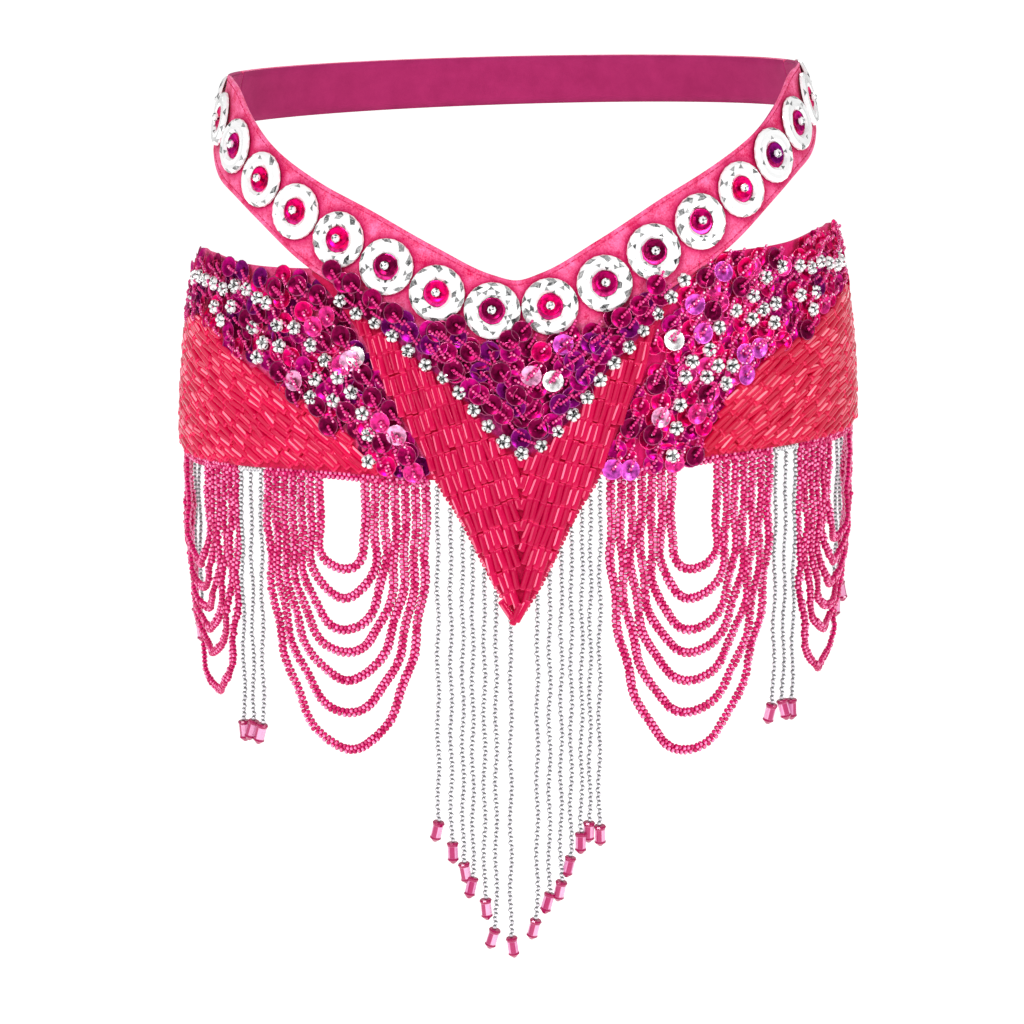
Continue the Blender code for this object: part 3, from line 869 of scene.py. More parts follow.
# %% [markdown]
# ## Two trees that thread beads
# Threading is the same job everywhere on the belt: beads in a row along a line. The first tree puts one
# bead on each edge of a mesh, turns it along that edge and gives it the edge's length. The second one cuts
# a long path into edges of one bead's pitch and hands it to the first, so a strand is drawn as a path only.

# %% Short ways to the nodes that trees share
def geometry_tree(name, inputs):
    """A Geometry Nodes tree that takes and gives geometry."""
    return new_tree(name, "GeometryNodeTree", [("Geometry", "Geometry"), *inputs], [("Geometry", "Geometry")])


def random_number(tree, low, high, seed):
    given = {"Min": low, "Max": high, "Seed": seed}
    return output_of(tree, "FunctionNodeRandomValue", given, 1, data_type="FLOAT")


def stored(tree, geometry, name, value, data_type="FLOAT", domain="POINT"):
    given = {"Geometry": geometry, "Name": name, "Value": value}
    return output_of(tree, "GeometryNodeStoreNamedAttribute", given, data_type=data_type, domain=domain)


def read_back(tree, name, data_type="FLOAT_VECTOR"):
    return output_of(tree, "GeometryNodeInputNamedAttribute", {"Name": name}, "Attribute", data_type=data_type)


def aligned(tree, upright, aside):
    """The rotation that lays Z along the first vector and then turns X towards the second."""
    lie = output_of(tree, "FunctionNodeAlignRotationToVector", {"Vector": upright}, axis="Z")
    return output_of(tree, "FunctionNodeAlignRotationToVector", {"Rotation": lie, "Vector": aside}, axis="X",
                     pivot_axis="Z")


def turned_by(tree, rotation, angles):
    """The rotation, turned by three angles about its own axes."""
    turn = output_of(tree, "FunctionNodeEulerToRotation", {"Euler": angles})
    return output_of(tree, "FunctionNodeRotateRotation", {"Rotation": rotation, "Rotate By": turn},
                     rotation_space="LOCAL")


def copies(tree, points, shape, placing):
    """A copy of a shape on every point. placing gives the rotation, and a scale if there is one."""
    model = output_of(tree, "GeometryNodeObjectInfo", {"Object": shape}, "Geometry")
    return output_of(tree, "GeometryNodeInstanceOnPoints", {"Points": points, "Instance": model, **placing})


def painted(tree, geometry, finish):
    """Makes the copies into a real mesh and gives it its material."""
    real = output_of(tree, "GeometryNodeRealizeInstances", {"Geometry": geometry})
    return output_of(tree, "GeometryNodeSetMaterial", {"Geometry": real, "Material": finish})


# %% One bead on each edge
BEAD_SOCKETS = [("Bead", "Object"), ("Spread", "Float", 0.05), ("Twist", "Float", 0.0), ("Loose", "Float", 0.4),
                ("Seed", "Int", 1), ("Finish", "Material")]


def beads_on_edges_tree():
    tree, given, result = geometry_tree("beads_on_edges", [("Full Length", "Float", 0.01), *BEAD_SOCKETS])
    ends = add_node(tree, "GeometryNodeInputMeshEdgeVertices").outputs
    along = output_of(tree, "ShaderNodeVectorMath", {0: ends["Position 2"], 1: ends["Position 1"]},
                      operation="SUBTRACT")
    kept = stored(tree, given["Geometry"], "thread", along, "FLOAT_VECTOR", "EDGE")
    middles = output_of(tree, "GeometryNodeMeshToPoints", {"Mesh": kept}, mode="EDGES")
    thread = read_back(tree, "thread")
    outward = output_of(tree, "ShaderNodeVectorMath", {0: output_of(tree, "GeometryNodeInputPosition"),
                                                       1: (HIP_HALF_WIDTH ** -2, HIP_HALF_DEPTH ** -2, 0.0)},
                        operation="MULTIPLY")
    loose = random_number(tree, scaled(tree, given["Loose"], -1.0), given["Loose"], given["Seed"])
    roll = scaled(tree, output_of(tree, "GeometryNodeInputIndex"), given["Twist"], loose)
    roll = output_of(tree, "ShaderNodeCombineXYZ", {"Z": roll})
    lie = turned_by(tree, aligned(tree, thread, outward), roll)
    width = random_number(tree, scaled(tree, given["Spread"], -1.0, 1.0), 1.0, given["Seed"])
    length = output_of(tree, "ShaderNodeVectorMath", {0: thread}, 1, operation="LENGTH")
    stretch = output_of(tree, "ShaderNodeMath", {0: length, 1: given["Full Length"]}, operation="DIVIDE")
    size = output_of(tree, "ShaderNodeCombineXYZ", {"X": width, "Y": width, "Z": stretch})
    beads = copies(tree, middles, given["Bead"], {"Rotation": lie, "Scale": size})
    toned = stored(tree, beads, "tone", random_number(tree, 0.0, 1.0, given["Seed"]), domain="INSTANCE")
    join(tree, result, {"Geometry": painted(tree, toned, given["Finish"])})
    return tree


BEADS_ON_EDGES = beads_on_edges_tree()


# %% Beads threaded along a path
def threaded_path_tree():
    tree, given, result = geometry_tree("threaded_path", [("Pitch", "Float", 0.002), *BEAD_SOCKETS])
    path = output_of(tree, "GeometryNodeMeshToCurve", {"Mesh": given["Geometry"]})
    even = output_of(tree, "GeometryNodeResampleCurve", {"Curve": path, "Length": given["Pitch"]}, mode="LENGTH")
    cut = output_of(tree, "GeometryNodeCurveToMesh", {"Curve": even})
    passed = {title: given[title] for title, *rest in BEAD_SOCKETS}
    threaded = output_of(tree, "GeometryNodeGroup", {"Geometry": cut, "Full Length": given["Pitch"], **passed},
                         node_tree=BEADS_ON_EDGES)
    join(tree, result, {"Geometry": threaded})
    return tree


THREADED_PATH = threaded_path_tree()


def path_mesh(name, paths):
    """A mesh of open lines, one for each list of points."""
    points, edges = [], []
    for path in paths:
        first = len(points)
        points.extend(path)
        edges.extend((first + i, first + i + 1) for i in range(len(path) - 1))
    mesh = bpy.data.meshes.new(name)
    mesh.from_pydata(points, edges, [])
    return mesh


# %% [markdown]
# ## Swags, fringe and tassels
# A swag is a set of loops, one inside another, sewn along the hem. Weight pulls both arms of a loop
# straight down and the bowl between them is half an ellipse. The fringe and the tassels are straight
# strands that end in one long bead. Thread is never dead straight, so each path sways by half a bead.

# %% Sizes of the strands
ROOT_STRIP_HEIGHT = 0.0020
V_STRIP_HEIGHT = 0.0050
V_FRINGE_REACH = 0.0405
ROOT_MARGIN = 0.0014
FALL_AT_SEAM = 0.0006
FRONT_SWAG_MIDDLE = 0.086
FRONT_SWAG = table("half_span lowest bowl", [
    (0.012, -0.2155, 0.013), (0.017, -0.2300, 0.024), (0.022, -0.2455, 0.040), (0.027, -0.2570, 0.052),
    (0.032, -0.2710, 0.070), (0.037, -0.2870, 0.090), (0.042, -0.3060, 0.115)])
SIDE_SWAG_MIDDLE = 0.192
SIDE_SWAG = table("half_span lowest bowl", [
    (0.018, -0.2200, 0.022), (0.023, -0.2320, 0.032), (0.028, -0.2430, 0.042), (0.033, -0.2540, 0.052),
    (0.038, -0.2660, 0.064), (0.043, -0.2860, 0.082)])
FRONT_FRINGE = table("arc bead_level", [
    (-0.0380, -0.342), (-0.0318, -0.352), (-0.0262, -0.362), (-0.0215, -0.369), (-0.0160, -0.380),
    (-0.0105, -0.395), (-0.0035, -0.399), (0.0090, -0.390), (0.0148, -0.377), (0.0203, -0.371),
    (0.0250, -0.359), (0.0300, -0.347), (0.0340, -0.342), (0.0385, -0.344)])
SIDE_TASSEL = table("arc bead_level", [(0.1325, -0.298), (0.1390, -0.297), (0.1455, -0.298)])
REAR_TASSEL = table("arc bead_level", [(0.2420, -0.258), (0.2480, -0.267)])
SWAY = 0.0005
SWAG_SWAY = 0.0009
SWAY_LENGTH = 0.035
BOWL_STEPS = 48
PATH_STEP = 0.006
EDGING_STEP = 0.004
V_EDGING_STEPS = 40
END_LEAN = (0.32, 0.15)


# %% Paths of the strands
def swayed(path, chance, reach=SWAY, held=1):
    """Moves a path's points a little, in long waves. held is 2 if both its ends are sewn down."""
    phases = [chance.uniform(0.0, 2.0 * math.pi) for axis in range(2)]
    whole = sum((point - last).length for last, point in zip(path, path[1:]))
    walked = 0.0
    result = [path[0]]
    for last, point in zip(path, path[1:]):
        walked += (point - last).length
        from_seam = min(walked, whole - walked) if held == 2 else walked
        fade = min(from_seam / SWAY_LENGTH, 1.0)
        turn = 2.0 * math.pi * walked / SWAY_LENGTH
        sway = Vector((math.sin(turn + phases[0]), math.sin(0.7 * turn + phases[1]), 0.0)) * reach * fade
        result.append(point + sway)
    return result


def hem_root(arc):
    level = side_hem(arc) - SEAM - ROOT_STRIP_HEIGHT / 2
    return hip_point(arc, level, INNER_LAYER + CLOTH / 2)


def v_root(arc):
    level = v_edge(arc) - FALL_AT_SEAM - V_STRIP_HEIGHT / 2
    return hip_point(arc, level, OUTER_LAYER + CLOTH / 2)


def straight_path(root, lowest):
    """A straight path down from a root, in steps short enough to sway."""
    steps = max(int((root.z - lowest) / PATH_STEP), 2)
    return [Vector((root.x, root.y, level)) for level in steps_between(root.z, lowest, steps)]


def loop_path(start, end, lowest, bowl):
    middle = (start + end) / 2
    half = (end - start) / 2
    points = straight_path(start, lowest + bowl)[:-1]
    for step in range(BOWL_STEPS + 1):
        swing = math.pi * step / BOWL_STEPS
        point = middle - half * math.cos(swing)
        point.z = lowest + bowl * (1.0 - math.sin(swing))
        points.append(point)
    return points + straight_path(end, lowest + bowl)[-2::-1]


def hem_edging(start, end):
    """The row of beads that hides where strands are sewn to a hem."""
    low, high = min(start, end), max(start, end)
    return [hem_root(arc) for arc in steps_between(low, high, int((high - low) / EDGING_STEP) + 1)]


def swag(name, side, middle, loops, tilts, seed):
    chance = random.Random(seed)
    reach = loops[-1].half_span + ROOT_MARGIN
    paths = [hem_edging(side * middle - reach, side * middle + reach)]
    for loop in loops:
        start = hem_root(side * middle - loop.half_span)
        end = hem_root(side * middle + loop.half_span)
        rise = tilt_rise((start.x + end.x) / 2) if tilts else 0.0
        paths.append(swayed(loop_path(start, end, loop.lowest + rise, loop.bowl), chance, SWAG_SWAY, held=2))
    mesh = made_by(THREADED_PATH, name, path_mesh(name, paths), Pitch=SEED_PITCH, Bead=SEED, Spread=0.12,
                   Twist=TWIST, Loose=SEED_LOOSE, Seed=seed, Finish=SEED_GLASS)
    finished_piece(f"{name}_beads", mesh, [name])


for side, word in SIDES.items():
    swag(f"front_swag_{word}", side, FRONT_SWAG_MIDDLE, FRONT_SWAG, False, 20 + side)
    swag(f"side_swag_{word}", side, SIDE_SWAG_MIDDLE, SIDE_SWAG, True, 30 + side)


# %% Straight strands with their end beads
def joined_meshes(name, meshes):
    """One mesh from several, with all their materials and attributes."""
    parts = [put_in_scene(name, mesh) for mesh in meshes]
    with bpy.context.temp_override(active_object=parts[0], selected_editable_objects=parts):
        bpy.ops.object.join()
    mesh = parts[0].data
    bpy.data.objects.remove(parts[0])
    mesh.name = name
    return mesh


def straight_strands(name, roots_and_levels, edging, edging_bead, edging_finish, seed):
    chance = random.Random(seed)
    paths, end_beads = [], []
    for root, level in roots_and_levels:
        top = level + END_BEAD_LENGTH / 2
        path = swayed(straight_path(root, top), chance)
        paths.append(path)
        lean = Vector((*(chance.uniform(-most, most) for most in END_LEAN), -1.0)).normalized()
        end_beads.append([path[-1], path[-1] + lean * END_BEAD_LENGTH])
        end_beads[-1][1].z = max(end_beads[-1][1].z, level - END_BEAD_LENGTH / 2)
    strands = made_by(THREADED_PATH, name, path_mesh(name, paths), Pitch=CLEAR_PITCH, Bead=CLEAR, Spread=0.06,
                      Twist=TWIST, Seed=seed, Finish=CLEAR_GLASS)
    ends = made_by(BEADS_ON_EDGES, name, path_mesh(name, end_beads), Bead=END_BEAD, Spread=0.04, Seed=seed,
                   Finish=END_GLASS, **{"Full Length": END_BEAD_LENGTH})
    edge = made_by(THREADED_PATH, name, path_mesh(name, [edging]), Pitch=SEED_PITCH, Bead=edging_bead,
                   Spread=0.1, Twist=TWIST, Seed=seed, Finish=edging_finish)
    finished_piece(f"{name}_beads", joined_meshes(name, [strands, ends, edge]), [name])


def v_edging():
    arcs = steps_between(-V_FRINGE_REACH, V_FRINGE_REACH, V_EDGING_STEPS)
    return [hip_point(arc, v_edge(arc) + V_STRIP_HEIGHT / 4, OUTER_LAYER) for arc in arcs]


straight_strands("front_fringe", [(v_root(strand.arc), strand.bead_level) for strand in FRONT_FRINGE],
                 v_edging(), SEED, V_BUGLES, 41)
for side, word in SIDES.items():
    for name, rows, seed in (("side_tassel", SIDE_TASSEL, 50), ("rear_tassel", REAR_TASSEL, 60)):
        roots = [hem_root(side * row.arc) for row in rows]
        ends = [(root, row.bead_level + tilt_rise(root.x)) for root, row in zip(roots, rows)]
        edging = hem_edging(side * (rows[0].arc - ROOT_MARGIN), side * (rows[-1].arc + ROOT_MARGIN))
        straight_strands(f"{name}_{word}", ends, edging, CLEAR, CLEAR_GLASS, seed + side)

# %% [markdown]
# ## Rows of bugle beads
# Bugles are couched down side by side and end to end. On the V panel each row crosses the arm squarely, so
# the rows meet as chevrons on the middle line. On the side panels one curve, copied at equal drops, gives
# all the rows. Where a row meets a border, a shorter bugle fills the place.

# %% Fit a bugle into its zone
BUGLE_SEAT = 0.0010
LEAST_BUGLE = 0.45
V_ROW_PITCH = 0.0030
V_SLOPE = math.radians(73)
SIDE_ROW_PITCH = 0.0034
HEM_CLEARANCE = 0.0014
V_WOBBLE = 0.045
SIDE_WOBBLE = 0.08
FIT_STEPS = 12
ROW_RISE = 0.0003
NUDGE = 0.0010
EDGE_CLEARANCE = 0.0012


def fitted(start, end, inside):
    """The longest stretch of a bugle that lies inside a zone, or None if too little does."""
    best, run = [], []
    for step in range(FIT_STEPS + 1):
        place = start + (end - start) * step / FIT_STEPS
        run = run + [place] if inside(place.x, place.y) else []
        best = max(best, run, key=len)
    return (best[0], best[-1]) if len(best) > FIT_STEPS * LEAST_BUGLE else None


def nudged(start, end, chance, wobble):
    """The same bugle a little turned and shifted, as hand work leaves it."""
    middle, half = (start + end) / 2, (end - start) / 2
    turn = chance.gauss(0.0, wobble)
    half = Vector((half.x * math.cos(turn) - half.y * math.sin(turn),
                   half.x * math.sin(turn) + half.y * math.cos(turn)))
    middle = middle + half.normalized() * chance.uniform(-NUDGE, NUDGE)
    return middle - half, middle + half


def on_v(arc, level, extra=0.0):
    return hip_point(arc, level, OUTER_LAYER + CLOTH + BUGLE_SEAT + extra)


# %% Lay out the rows on the V panel
V_TIP = [((-0.0082, -0.2262), (-0.0026, -0.2352)), ((0.0045, -0.2265), (-0.0011, -0.2369)),
         ((0.0012, -0.2280), (-0.0029, -0.2382))]
V_TIP_RISE = 0.0012
V_MIDDLE = 0.001
V_ROWS_FROM = -0.06
V_COLUMNS = range(-14, 66)
V_ROWS = range(-6, 30)
UNDER_FLOWERS = 0.0015


def v_bugles():
    """Rows square across both arms of the V, met on its middle line, and three bugles that close its tip."""
    chance = random.Random(7)
    edges = [[on_v(*end, V_TIP_RISE) for end in ends] for ends in V_TIP]
    for side in (-1, 1):
        lie = Vector((-side * math.cos(V_SLOPE), -math.sin(V_SLOPE)))
        over = Vector((side * math.sin(V_SLOPE), -math.cos(V_SLOPE)))

        def inside(arc, level):
            straight = arc + v_lean(level)
            under = level < v_border(arc) - UNDER_FLOWERS
            return under and level > v_edge(straight) + EDGE_CLEARANCE and side * (arc - V_MIDDLE) > 0.0

        for column in V_COLUMNS:
            for row in V_ROWS:
                start = Vector((V_MIDDLE, V_ROWS_FROM))
                middle = start + over * column * V_ROW_PITCH + lie * row * BUGLE_PITCH
                half = lie * BUGLE_LENGTH / 2
                ends = nudged(middle - half, middle + half, chance, V_WOBBLE)
                kept = fitted(*ends, inside)
                if kept:
                    rise = chance.uniform(-ROW_RISE, ROW_RISE) + ROW_RISE * (column % 2)
                    edges.append([on_v(end.x, end.y, rise) for end in kept])
    return edges


# %% Lay out the rows on the side panels
SIDE_SLOPES = {0.07: 42, 0.12: 33, 0.17: 22, 0.23: 8}
SIDE_CURVE_START = (0.045, -0.300)
SIDE_ROWS = 86
STEPS_A_BUGLE = 8
OVER_BORDER = 0.0005
UNDER_TOP = 0.002
BEFORE_END = 0.001


def side_slope(arc):
    """The angle of a side panel's rows: steep beside the V, nearly level at the back of the hip."""
    return math.radians(float(np.interp(arc, list(SIDE_SLOPES), list(SIDE_SLOPES.values()))))


def side_bugles(side):
    chance = random.Random(11 + side)

    def inside(arc, level):
        over_hem = level > side_hem(arc) + HEM_CLEARANCE
        under_border = level < min(side_border(side, arc) + OVER_BORDER, side_top(arc) - UNDER_TOP)
        beside_v = arc > side_front(side, level) + EDGE_CLEARANCE
        return over_hem and under_border and beside_v and arc < SIDE_PANEL_END - BEFORE_END

    step = STEPS_A_BUGLE
    curve = [Vector(SIDE_CURVE_START)]
    while curve[-1].x < SIDE_PANEL_END:
        slope = side_slope(curve[-1].x)
        curve.append(curve[-1] + Vector((math.cos(slope), math.sin(slope))) * BUGLE_PITCH / step)
    edges = []
    for row in range(SIDE_ROWS):
        drop = Vector((0.0, row * SIDE_ROW_PITCH))
        for i in range(chance.randrange(step), len(curve) - step, step):
            reach = (curve[i + step] - curve[i]) * BUGLE_LENGTH / BUGLE_PITCH
            kept = fitted(*nudged(curve[i] + drop, curve[i] + drop + reach, chance, SIDE_WOBBLE), inside)
            if kept:
                out = CLOTH + BUGLE_SEAT + chance.uniform(-ROW_RISE, ROW_RISE) + ROW_RISE * (row % 2)
                edges.append([hip_point(side * end.x, end.y, out) for end in kept[::-side]])
    return edges


def bugle_piece(name, edges, seed, finish):
    mesh = made_by(BEADS_ON_EDGES, name, path_mesh(name, edges), Bead=BUGLE, Spread=0.08, Seed=seed,
                   Finish=finish, **{"Full Length": BUGLE_LENGTH})
    finished_piece(name, mesh)
    print(name, "holds", len(edges), "bugles")


bugle_piece("v_panel_bugles", v_bugles(), 71, V_BUGLES)
for seed, (side, word) in enumerate(SIDES.items(), start=72):
    bugle_piece(f"side_panel_bugles_{word}", side_bugles(side), seed, SIDE_BUGLES[side])

# %% [markdown]
# ## Sequins and flowers
# Sequins are sewn on one at a time. The thread comes up through the hole, takes a few tiny beads, and goes
# down beyond the rim, so each cup is held by a short trail of beads and leans a little. One tree scatters
# points on the cloth no closer than a set distance. A second one stands a cup and its trail on each point,
# and also serves the sequins and flowers whose places are measured.

# %% The shapes: cup sequin, trail and flower
TRAIL_WIDTH = 0.0015
TRAIL_PITCH = 0.0016
TRAIL_BEADS = 5
CUP_DEPTH = 0.0008
FILM = 0.00014


def cup_core(place):
    """0 at the hole, where the cup is deepest and the foil gets painted shade, 1 on its slope and 2 at the rim,
    which gets a painted highlight.
    """
    share = math.hypot(place.x, place.y) / SEQUIN_RADIUS
    return 2.0 if share > 0.97 else min(max(1.4 * share - 0.1, 0.0), 1.0)


def cup_profile(radius, depth, film):
    top = [(radius * 0.14, 0.0), (radius * 0.45, 0.0), (radius * 0.9, depth * 0.7), (radius, depth)]
    return top + [(reach, height - film) for reach, height in reversed(top)] + [top[0]]


CUP = turned_shape("cup_sequin", cup_profile(SEQUIN_RADIUS, CUP_DEPTH, FILM), 14, cup_core)


def trail_shape():
    """A short row of tiny beads that starts in the hole, lies over the rim and goes down beyond it."""
    profile = bead_profile(TRAIL_WIDTH, TRAIL_PITCH, 0.0, 0.0005)
    tube = profile[1:2] + profile[3:5] + profile[6:7]
    bead = turned_shape("trail_bead", tube, 6, core_along(TRAIL_PITCH, 0.5), streaked=(1,))
    bead_row = bmesh.new()
    for number in range(TRAIL_BEADS):
        rise = 0.0009 + 0.0009 * math.sin(math.pi * (number + 0.5) / TRAIL_BEADS)
        copy = bead.data.copy()
        copy.transform(Matrix.Translation(((number + 0.3) * TRAIL_PITCH, 0.0, rise))
                       @ Matrix.Rotation(math.pi / 2, 4, "Y") @ Matrix.Rotation(number * 2.1, 4, "Z"))
        bead_row.from_mesh(copy)
    bmesh.ops.holes_fill(bead_row, edges=bead_row.edges)
    return bpy.data.objects.new("trail", mesh_from("trail", bead_row))


TRAIL = trail_shape()


def flower_shape():
    """Five domed petals round a small eye, from a round grid of rings. The eye, the gaps between petals and a
    patch on one side are painted shade.
    """
    rings, sides = 6, 30
    gap_widths = (0.16, 0.50, 0.24, 0.44, 0.12)
    mesh = bpy.data.meshes.new("flower")
    points, faces, cuts = [(0.0, 0.0, 0.0010)], [], [1.0]
    for ring in range(1, rings + 1):
        share = ring / rings
        for side in range(sides):
            angle = 2 * math.pi * side / sides
            petal = abs(math.cos(2.5 * angle))
            radius = FLOWER_RADIUS * share * (1.0 - 0.26 * (1.0 - petal) ** 2 * share)
            dome = math.sin(math.pi * min(max((share - 0.15) / 0.85, 0.0), 1.0)) ** 0.6
            height = 0.0004 + 0.0018 * dome * (0.3 + 0.7 * petal ** 0.7)
            height = height if ring < rings else 0.0
            points.append((radius * math.cos(angle), radius * math.sin(angle), height))
            # cut is painted shade: in the gaps between petals, in the eye and in a patch on one side.
            gap = petal < gap_widths[side * 5 // sides] and share < 0.9
            painted_shade_patch = ring == 1 or (ring <= 3 and 4 <= side <= 9)
            cuts.append(1.0 if gap or painted_shade_patch else 0.0)
    for side in range(sides):
        after = (side + 1) % sides
        faces.append((0, 1 + side, 1 + after))
        for ring in range(rings - 1):
            near, far = 1 + ring * sides, 1 + (ring + 1) * sides
            faces.append((near + side, far + side, far + after, near + after))
    faces.append(tuple(1 + (rings - 1) * sides + side for side in reversed(range(sides))))
    mesh.from_pydata(points, [], faces)
    mark(mesh, "cut", cuts)
    return bpy.data.objects.new("flower", mesh)


FLOWER = flower_shape()
print("a cup has", len(CUP.data.polygons), "faces, a flower", len(FLOWER.data.polygons))


# %% A cup and a trail on every point
PIECE_SOCKETS = [("Lean", "Float", 0.2), ("Seed", "Int", 1), ("Cup", "Object"), ("Trail", "Object"),
                 ("Cup Finish", "Material"), ("Trail Finish", "Material")]
LEAN_REACH = (1.0, 1.0, 1.6)
DENSEST = 120000.0


def dressed_points_tree():
    """Each point carries facing, the way out of the cloth, drape, the way of its trail, and tone."""
    tree, given, result = geometry_tree("dressed_points", PIECE_SOCKETS)
    stand = aligned(tree, read_back(tree, "facing"), read_back(tree, "drape"))
    least, most = (output_of(tree, "ShaderNodeVectorMath", {
        0: tuple(way * reach for reach in LEAN_REACH), "Scale": given["Lean"]}, operation="SCALE")
        for way in (-1.0, 1.0))
    lean = output_of(tree, "FunctionNodeRandomValue", {0: least, 1: most, "Seed": given["Seed"]},
                     data_type="FLOAT_VECTOR")
    stand = turned_by(tree, stand, lean)
    joined = add_node(tree, "GeometryNodeJoinGeometry")
    for shape in ("Cup", "Trail"):
        placed = copies(tree, given["Geometry"], given[shape], {"Rotation": stand})
        tree.links.new(painted(tree, placed, given[f"{shape} Finish"]), joined.inputs[0])
    join(tree, result, {"Geometry": joined.outputs[0]})
    return tree


DRESSED_POINTS = dressed_points_tree()


# %% Points scattered on cloth, or at the corners of a mesh
def dressed_tree(name, extra, spread):
    """A tree that makes points with spread(tree, given), and stands a cup and a trail on each."""
    tree, given, result = geometry_tree(name, [*extra, *PIECE_SOCKETS])
    passed = {title: given[title] for title, *rest in PIECE_SOCKETS}
    dressed = output_of(tree, "GeometryNodeGroup", {"Geometry": spread(tree, given), **passed},
                        node_tree=DRESSED_POINTS)
    join(tree, result, {"Geometry": dressed})
    return tree


def scattered_points(tree, given):
    spots = add_node(tree, "GeometryNodeDistributePointsOnFaces",
                     {"Mesh": given["Geometry"], "Distance Min": given["Apart"], "Density Max": DENSEST,
                      "Density Factor": read_back(tree, given["Mask"], "FLOAT"), "Seed": given["Seed"]},
                     distribute_method="POISSON").outputs
    tone = random_number(tree, given["Darkest"], given["Palest"], given["Seed"])
    lift = random_number(tree, 0.0, given["Lift"], given["Seed"])
    raised = output_of(tree, "ShaderNodeVectorMath", {0: spots["Normal"], "Scale": lift}, operation="SCALE")
    moved = output_of(tree, "GeometryNodeSetPosition", {"Geometry": spots[0], "Offset": raised})
    facing = stored(tree, moved, "facing", spots["Normal"], "FLOAT_VECTOR")
    return stored(tree, facing, "tone", tone)


def corner_points(tree, given):
    return output_of(tree, "GeometryNodeMeshToPoints", {"Mesh": given["Geometry"]}, mode="VERTICES")


SCATTERED = dressed_tree("scattered_on_cloth", [
    ("Mask", "String", "sequins"), ("Apart", "Float", 0.007), ("Lift", "Float", 0.001), ("Darkest", "Float", 0.0),
    ("Palest", "Float", 1.0)], scattered_points)
PLACED = dressed_tree("placed_on_cloth", [], corner_points)

# %% [markdown]
# ## Measured sequins and flowers
# The eye goes to the silver flowers and to the palest and darkest sequins, so these have measured places.
# Each row gives an arc and a level in millimetres. The row of a sequin ends with its tone. At the back of
# the hips, where nothing is measured, the scattering tree carries on in the same way.

# %% The places
SIDE_FLOWERS = {
    -1: [(198, -77), (189, -76), (180, -77), (171, -78), (162, -80), (153, -78), (144, -79), (136, -83),
         (168, -89), (154, -88), (130, -85), (161, -95), (137, -97), (122, -95),
         (112, -96), (130, -104), (120, -105), (102, -104), (133, -111), (94, -111), (99, -120), (87, -119),
         (80, -126), (101, -129), (89, -130), (74, -136), (71, -146), (71, -159)],
    1: [(129, -82), (140, -78), (153, -79), (162, -81), (171, -79), (180, -81), (189, -83), (197, -82),
        (120, -90), (109, -96), (99, -103), (93, -113), (133, -95), (125, -97), (118, -101), (131, -104),
        (151, -93), (163, -93), (159, -101), (84, -118), (105, -122), (97, -121), (91, -126), (80, -125),
        (101, -130), (77, -138), (75, -149), (73, -162)],
}
SIDE_SEQUINS = {
    -1: [(107, -88, .66), (94, -90, .74), (101, -95, .75), (78, -109, .98), (81, -111, .92), (85, -113, .74),
         (110, -121, .92), (105, -114, .46), (65, -140, .74), (57, -146, .92), (62, -161, .60),
         (49, -164, .72), (52, -156, .30), (100, -80, .05), (86, -99, .03), (95, -102, .08), (74, -117, .05),
         (69, -128, .10), (82, -135, .05), (64, -150, .05), (60, -134, .08), (119, -117, .05),
         (110, -127, .10), (112, -76, .12), (124, -78, .08), (97, -133, .06), (91, -142, .08),
         (177, -69, .30), (169, -68, .16), (159, -69, .44), (148, -70, .20), (135, -73, .18), (126, -77, .30),
         (111, -76, .34), (189, -67, .50), (137, -86, .18), (141, -93, .16), (134, -90, .02)],
    1: [(75, -107, .99), (104, -77, .84), (117, -76, .70), (87, -91, .84), (90, -105, .82), (112, -117, .84),
        (120, -115, .82), (112, -127, .84), (85, -143, .80), (67, -143, .94), (44, -166, .84),
        (52, -167, .84), (94, -79, .10), (113, -85, .05), (96, -95, .12), (152, -110, .08), (65, -127, .10),
        (90, -134, .08), (63, -151, .03), (84, -163, .02), (52, -147, .12), (136, -74, .10), (166, -90, .2)],
}
V_SEQUINS = [(2, -98, .02), (-4, -102, .03), (-30, -115, .05), (-12, -132, .05), (-29, -94, .04),
             (9, -144, .06), (-59, -88, .05), (-51, -97, .20), (-38, -97, .16), (-92, -68, .05),
             (-81, -74, .10), (-22, -107, .12), (-8, -117, .10), (-1, -128, .10), (6, -119, .92),
             (16, -122, .99), (21, -105, .86), (11, -108, .70), (-33, -107, .36), (-41, -103, .20),
             (34, -105, .20), (49, -94, .30), (58, -89, .42), (67, -80, .36), (38, -106, .18),
             (26, -113, .22), (31, -120, .20), (19, -133, .25), (-18, -127, .36), (-22, -124, .46)]


# %% [markdown]
# A trail runs away from the border of its zone. On the wearer's right it falls towards the middle, and on
# the left it climbs away from it, more steeply near the V than at the back of the hip.

# %% Ways of the trails, and layouts to scatter on
TRAIL_SLOPES = {0.065: 60, 0.10: 50, 0.15: 36, 0.20: 18}


def v_trail(arc):
    return math.radians(-44 if arc < 0.002 else 47)


def side_trail(arc):
    steep = float(np.interp(abs(arc), list(TRAIL_SLOPES), list(TRAIL_SLOPES.values())))
    return math.radians(steep if arc > 0 else -steep)


def directions(arc, level, slope):
    """The way out of the cloth at a place, and a direction on the cloth at a slope."""
    normal, across, up = hip_frame(arc, level)
    return normal, across * math.cos(slope) + up * math.sin(slope)


def write_vectors(mesh, name, vectors):
    values = mesh.attributes.new(name, "FLOAT_VECTOR", "POINT")
    values.data.foreach_set("vector", [value for vector in vectors for value in vector])


